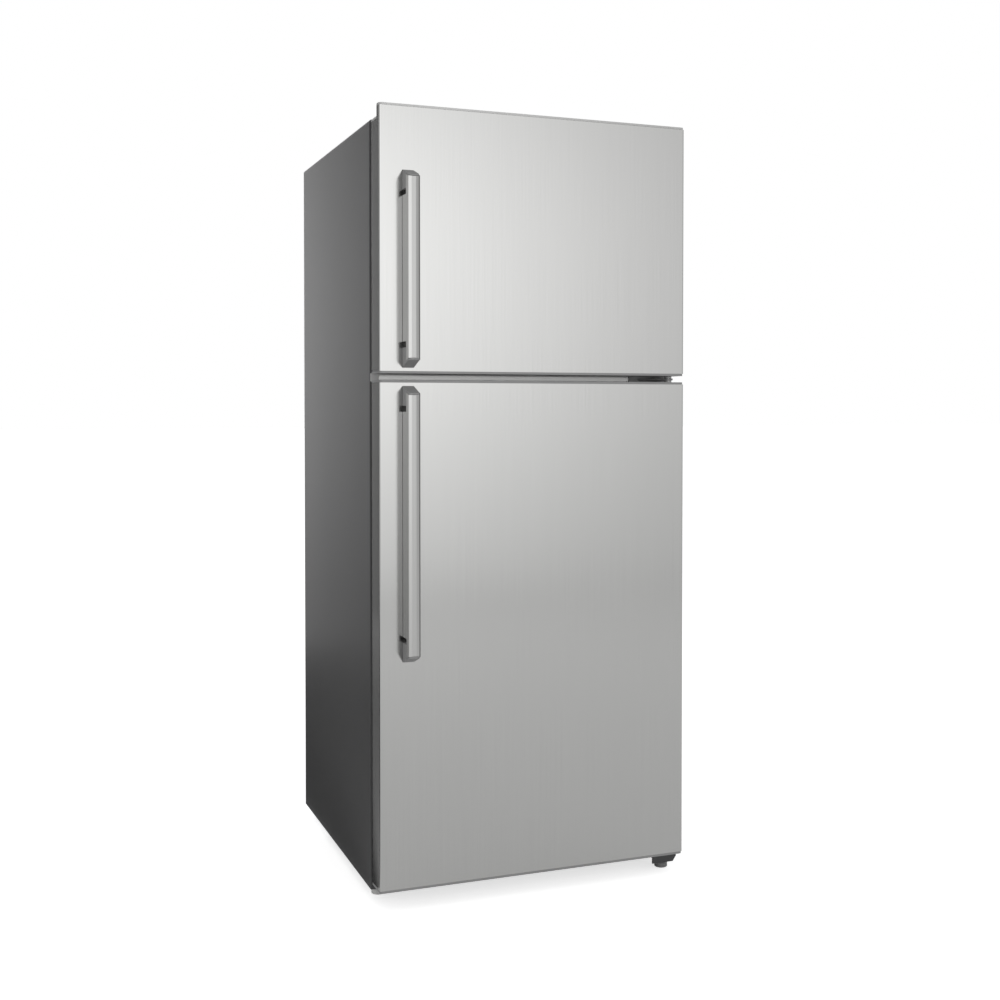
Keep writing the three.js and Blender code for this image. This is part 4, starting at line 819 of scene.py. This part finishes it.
def makeDial():
    # raised marks in an arc round the knob, each longer than the last by the growth; those that would stand
    # over the control box's top are left out
    low, high = boxOf("thermostat_knob")
    boxLow, boxHigh = boxOf("control_box")
    centre = [(low[0] + high[0]) / 2, (low[2] + high[2]) / 2]
    inner, parts = dialShape["inner"], []
    front, back = boxLow[1] - dialShape["proud"], boxLow[1] + dialShape["sunk"]
    angles = np.radians(np.linspace(dialShape["from"], dialShape["to"], dialShape["count"]))
    for i, angle in enumerate(angles):
        outer = dialShape["outer"] + dialShape["growth"] * i
        along = np.array([math.cos(angle), math.sin(angle)])
        side = np.array([-along[1], along[0]]) * dialShape["half"]
        corners = [along * inner - side, along * outer - side, along * outer + side, along * inner + side]
        corners = np.array(corners) + centre
        if corners[:, 1].max() < boxHigh[2]:
            parts.append(prism("y", corners, front, back))
    newPiece("thermostat_marks", parts, capPlastic, body="cabinet")


makeWireShelf()
for node in ("glass_shelf_1", "glass_shelf_2", "crisper_cover"):
    makeShelfTrim(node)
makeKnob()
makeDial()
print("inside pieces made")

footShape = {
    # how far in from the pad's edge and how high each point of its outline is, in mm
    "rim": [
        (3, 0), (1.2, 0.4), (0, 1.6), (0, 4), (0.7, 4.6), (0.7, 5.6), (0, 6.2), (0, 9.6), (1, 11.4),
        (4, 12.6),
    ],
    "nutRadius": 7 * mm, "padTop": 13 * mm, "hollow": 12.2 * mm, "sides": 40,
    "nutFoot": 12.5 * mm, "nutTop": 16.5 * mm,
    "stemFoot": 3.6 * mm, "threadMiddle": 3.75 * mm, "threadDepth": 0.25 * mm, "threadStep": 0.45 * mm,
    "stemEnd": 3 * mm, "endGap": 0.8 * mm, "stemSides": 20,
}


def makeFoot(node, finish):
    # a pad with a grooved rim, a nut, and a screw whose radius is the middle one plus and minus the thread's
    # depth by turns
    low, high = boxOf(node)
    centre = (low + high)[:2] / 2
    radius = (high[0] - low[0]) / 2
    nutRadius, nutFoot, nutTop = footShape["nutRadius"], footShape["nutFoot"], footShape["nutTop"]
    rim = [(radius - inset * mm, level * mm) for inset, level in footShape["rim"]]
    well = [(nutRadius, footShape["padTop"]), (nutRadius, footShape["hollow"]), (0, footShape["hollow"])]
    pad = turned("z", centre, [(0, 0), *rim, *well], footShape["sides"])
    nut = prism("z", circle(nutRadius, 6) + centre, nutFoot, nutTop)
    levels = np.arange(nutTop, high[2] - footShape["endGap"], footShape["threadStep"])
    radii = footShape["threadMiddle"] + footShape["threadDepth"] * (-1.0) ** np.arange(len(levels))
    stem = [(0, nutFoot), (footShape["stemFoot"], nutFoot), *zip(radii, levels)]
    stem += [(footShape["stemEnd"], high[2]), (0, high[2])]
    screw = turned("z", centre, stem, footShape["stemSides"])
    newPiece(node + "_look", [pad], finish, node, replaced=[node])
    newPiece(node + "_screw", [nut, screw], screwSteel, node)


rollerShape = {
    "sides": 36,
    # the section of a wheel of this radius and half width: radius, and place along the axle
    "radius": 13, "half": 10,
    "section": [
        (3.4, -10), (5.5, -10), (6, -8.6), (9.4, -8.6), (10, -10), (11.6, -10), (13, -8.4), (13, -3),
        (12.4, -2), (12.4, 2), (13, 3), (13, 8.4), (11.6, 10), (10, 10), (9.4, 8.6), (6, 8.6), (5.5, 10),
        (3.4, 10),
    ],
}


def makeRoller(node):
    # the section turned about the axle, scaled to the solid's own radius and half width
    low, high = boxOf(node)
    middle = (low + high)[1:] / 2
    radius, half = (high[2] - low[2]) / 2, (high[0] - low[0]) / 2
    x = (low[0] + high[0]) / 2
    scale = np.array([radius / rollerShape["radius"], half / rollerShape["half"]])
    section = np.array(rollerShape["section"]) * scale
    rings = [lift("x", circle(r, rollerShape["sides"]) + middle, x + level) for r, level in section]
    newPiece(node + "_look", [skin(rings, closed=True)], capPlastic, node, replaced=[node])


screwShape = {
    "radius": 3.8 * mm, "height": 1.6 * mm, "sides": 14,
    # a low dome with a round socket in its middle, as shares of the radius and the height
    "dome": [
        (0, -0.6), (1, -0.6), (1, 0.2), (0.93, 0.55), (0.7, 0.88), (0.42, 1), (0.36, 0.95), (0.3, 0.35),
        (0, 0.3),
    ],
    # how far in from the sheets' edges: at their sides, the panel's ends, and the cover's corners and middle
    "sideInset": 9 * mm, "panelInset": 30 * mm, "cornerInset": 14 * mm, "middleInset": 10 * mm,
    "onPanel": 6,
}


def screwHead(x, y, z):
    # the dome turned about a line from front to back, standing out behind the place
    dome = [(r * screwShape["radius"], y + h * screwShape["height"]) for r, h in screwShape["dome"]]
    return turned("y", (x, z), dome, screwShape["sides"])


def makeScrews():
    # an even row down each side of the panel; one in each corner of the cover and two at its middle
    panelLow, panelHigh = boxOf("rear_panel")
    coverLow, coverHigh = boxOf("compressor_cover")
    inset, corner, middle = screwShape["sideInset"], screwShape["cornerInset"], screwShape["middleInset"]
    onPanel, onCover = panelHigh[1] - screwShape["height"], coverHigh[1] - rearShape["setBack"]
    first, last = panelLow[2] + screwShape["panelInset"], panelHigh[2] - screwShape["panelInset"]
    column = np.linspace(first, last, screwShape["onPanel"])
    places = [(side * (panelHigh[0] - inset), onPanel, z) for side in (-1, 1) for z in column]
    for x in (coverLow[0] + inset, coverHigh[0] - inset):
        places += [(x, onCover, z) for z in (coverLow[2] + corner, coverHigh[2] - corner)]
    places += [(0, onCover, z) for z in (coverHigh[2] - middle, coverLow[2] + middle)]
    parts = [screwHead(*place) for place in places]
    newPiece("rear_screws", parts, hingeSteel, body="cabinet")


# the left foot takes the pale finish, which is painted light; the right one keeps the rubber
makeFoot("left_foot", footPaintedLight)
makeFoot("right_foot", footRubber)
makeRoller("left_roller")
makeRoller("right_roller")
makeScrews()
print("feet, rollers and screws made")

studio = {
    "ambient": 0.62,
    "floorColour": 0.8,
    "floorGlow": 0.48,
    "seenGlow": 0.18,  # added where the camera sees the floor itself
    "floorReach": 60,
    # each lamp fades from its middle as a bell curve, whose widths are shares of the lamp's sides
    "key": {
        "place": (-0.37, -4.2, 1.84), "aim": (-0.37, 0, 1.84), "size": (7.0, 3.48), "bell": (0.25, 0.34),
        "power": 140,
    },
    "kicker": {
        "place": (-0.7, 2.6, 1.5), "aim": (-0.45, 0.0, 1.5), "size": (0.7, 3.0), "bell": (0.186, 0.33),
        "power": 21,
    },
    # boards at the left and behind, which only mirrored rays see: each one's four corners and its glow
    "boards": [
        ([(-1.28, 3.3, 0.0), (-0.4, 3.3, 0.0), (-0.4, 3.3, 3.6), (-1.28, 3.3, 3.6)], 0.02),
        ([(-1.36, 3.3, 0.0), (-1.28, 3.3, 0.0), (-1.28, 3.3, 3.6), (-1.36, 3.3, 3.6)], 0.85),
        ([(-1.42, 3.3, 0.0), (-1.36, 3.3, 0.0), (-1.36, 3.3, 3.6), (-1.42, 3.3, 3.6)], 0.6),
        ([(-4.0, 3.3, 0.0), (-1.42, 3.3, 0.0), (-1.42, 3.3, 3.6), (-4.0, 3.3, 3.6)], 0.02),
        ([(-4.0, 1.9, 0.004), (-0.36, 1.9, 0.004), (-0.36, 3.3, 0.004), (-4.0, 3.3, 0.004)], 0.11),
        ([(-4.0, -0.2, 0.004), (-0.36, -0.2, 0.004), (-0.36, 1.9, 0.004), (-4.0, 1.9, 0.004)], 0.03),
        ([(-0.362, -0.3, 0.006), (-1.28, 3.3, 0.006), (-1.42, 3.3, 0.006), (-0.38, -0.3, 0.006)], 0.9),
    ],
}
view = {
    "place": (-1.0617, -2.9094, 1.0432), "yaw": 20.736, "pitch": 1.223,
    "lens": 46.949, "sensor": 36, "shift": -0.065, "clip": (0.05, 200),
}


def showsBackground(owner):
    # 1 for camera rays and for mirrored and transmitted ones, so that metal and glass show the white too
    paths = addNode(owner, "LightPath").outputs
    total = paths["Is Camera Ray"]
    for name in ("Is Glossy Ray", "Is Transmission Ray"):
        total = addNode(owner, "Math", {0: total, 1: paths[name]}, operation="ADD", use_clamp=True).outputs[0]
    return total


def makeWorld():
    # white where it is seen, and the ambient share of that where it only lights
    world = bpy.data.worlds.new("studio")
    bpy.context.scene.world = world
    world.use_nodes = True
    levels = {"Value": showsBackground(world), "To Min": studio["ambient"], "To Max": 1.0}
    strength = addNode(world, "MapRange", levels).outputs[0]
    background = world.node_tree.nodes["Background"]
    background.inputs["Color"].default_value = grey(1)
    world.node_tree.links.new(strength, background.inputs["Strength"])


def makeFloor():
    # a flat sheet that glows by floorGlow where the background is seen, plus seenGlow from the camera itself
    reach = studio["floorReach"]
    corners = [(-reach, -reach, 0), (reach, -reach, 0), (reach, reach, 0), (-reach, reach, 0)]
    mesh = bpy.data.meshes.new("studio_floor")
    mesh.from_pydata(corners, [], [(0, 1, 2, 3)])
    floor = placed("studio_floor", mesh)
    paper = newFinish("studioPaper", (studio["floorColour"],) * 3, 0.9, Specular_IOR_Level=0.0)
    nodes = paper.node_tree.nodes
    glow = addNode(paper, "Math", {0: showsBackground(paper), 1: studio["floorGlow"]}, operation="MULTIPLY")
    fromCamera = nodes["Light Path"].outputs["Is Camera Ray"]
    values = {0: fromCamera, 1: studio["seenGlow"], 2: glow.outputs[0]}
    seen = addNode(paper, "Math", values, operation="MULTIPLY_ADD").outputs[0]
    shader = nodes["Principled BSDF"]
    shader.inputs["Emission Color"].default_value = grey(1)
    paper.node_tree.links.new(seen, shader.inputs["Emission Strength"])
    mesh.materials.append(paper)


def makeLamp(name):
    # a rectangle whose strength is exp(-d x d / 2), where d is the distance from its middle in bell widths
    values = studio[name]
    lamp = bpy.data.lights.new(name, "AREA")
    lamp.shape = "RECTANGLE"
    lamp.size, lamp.size_y = values["size"]
    lamp.energy = values["power"]
    lamp.use_nodes = True
    across = addNode(lamp, "NewGeometry").outputs["Parametric"]
    for operation, operand in (("SUBTRACT", (0.5, 0.5, 0)), ("DIVIDE", (*values["bell"], 1))):
        across = addNode(lamp, "VectorMath", {0: across, 1: operand}, operation=operation).outputs[0]
    square = addNode(lamp, "VectorMath", {0: across, 1: across}, operation="DOT_PRODUCT").outputs["Value"]
    half = addNode(lamp, "Math", {0: square, 1: -0.5}, operation="MULTIPLY").outputs[0]
    bell = addNode(lamp, "Math", {0: half}, operation="EXPONENT").outputs[0]
    lamp.node_tree.links.new(bell, lamp.node_tree.nodes["Emission"].inputs["Strength"])
    holder = placed(name, lamp)
    holder.location = values["place"]
    toAim = Vector(values["aim"]) - Vector(values["place"])
    holder.rotation_euler = toAim.to_track_quat("-Z", "Y").to_euler()
    holder.visible_camera = False


def makeBoards():
    # black sheets that glow evenly; only mirrored rays see them
    for i, (corners, glow) in enumerate(studio["boards"]):
        name = f"board_{i + 1}"
        board = newFinish(name, (0, 0, 0), 1.0, Specular_IOR_Level=0.0, Emission_Strength=glow)
        board.node_tree.nodes["Principled BSDF"].inputs["Emission Color"].default_value = grey(1)
        mesh = bpy.data.meshes.new(name)
        mesh.from_pydata(corners, [], [(0, 1, 2, 3)])
        mesh.materials.append(board)
        panel = placed(name, mesh)
        panel.visible_camera = panel.visible_diffuse = False
        panel.visible_shadow = panel.visible_transmission = False


def makeCamera():
    # yaw turns the camera to the right from straight ahead, and pitch down from level, in degrees
    lens = bpy.data.cameras.new("view")
    lens.lens, lens.sensor_width, lens.shift_y = view["lens"], view["sensor"], view["shift"]
    lens.clip_start, lens.clip_end = view["clip"]
    camera = placed("view", lens)
    camera.location = view["place"]
    camera.rotation_euler = (math.radians(90 - view["pitch"]), 0, math.radians(-view["yaw"]))
    bpy.context.scene.camera = camera


makeWorld()
makeFloor()
makeBoards()
for lampName in ("key", "kicker"):
    makeLamp(lampName)
makeCamera()
bpy.context.scene.view_settings.view_transform = "Standard"
print("studio made")
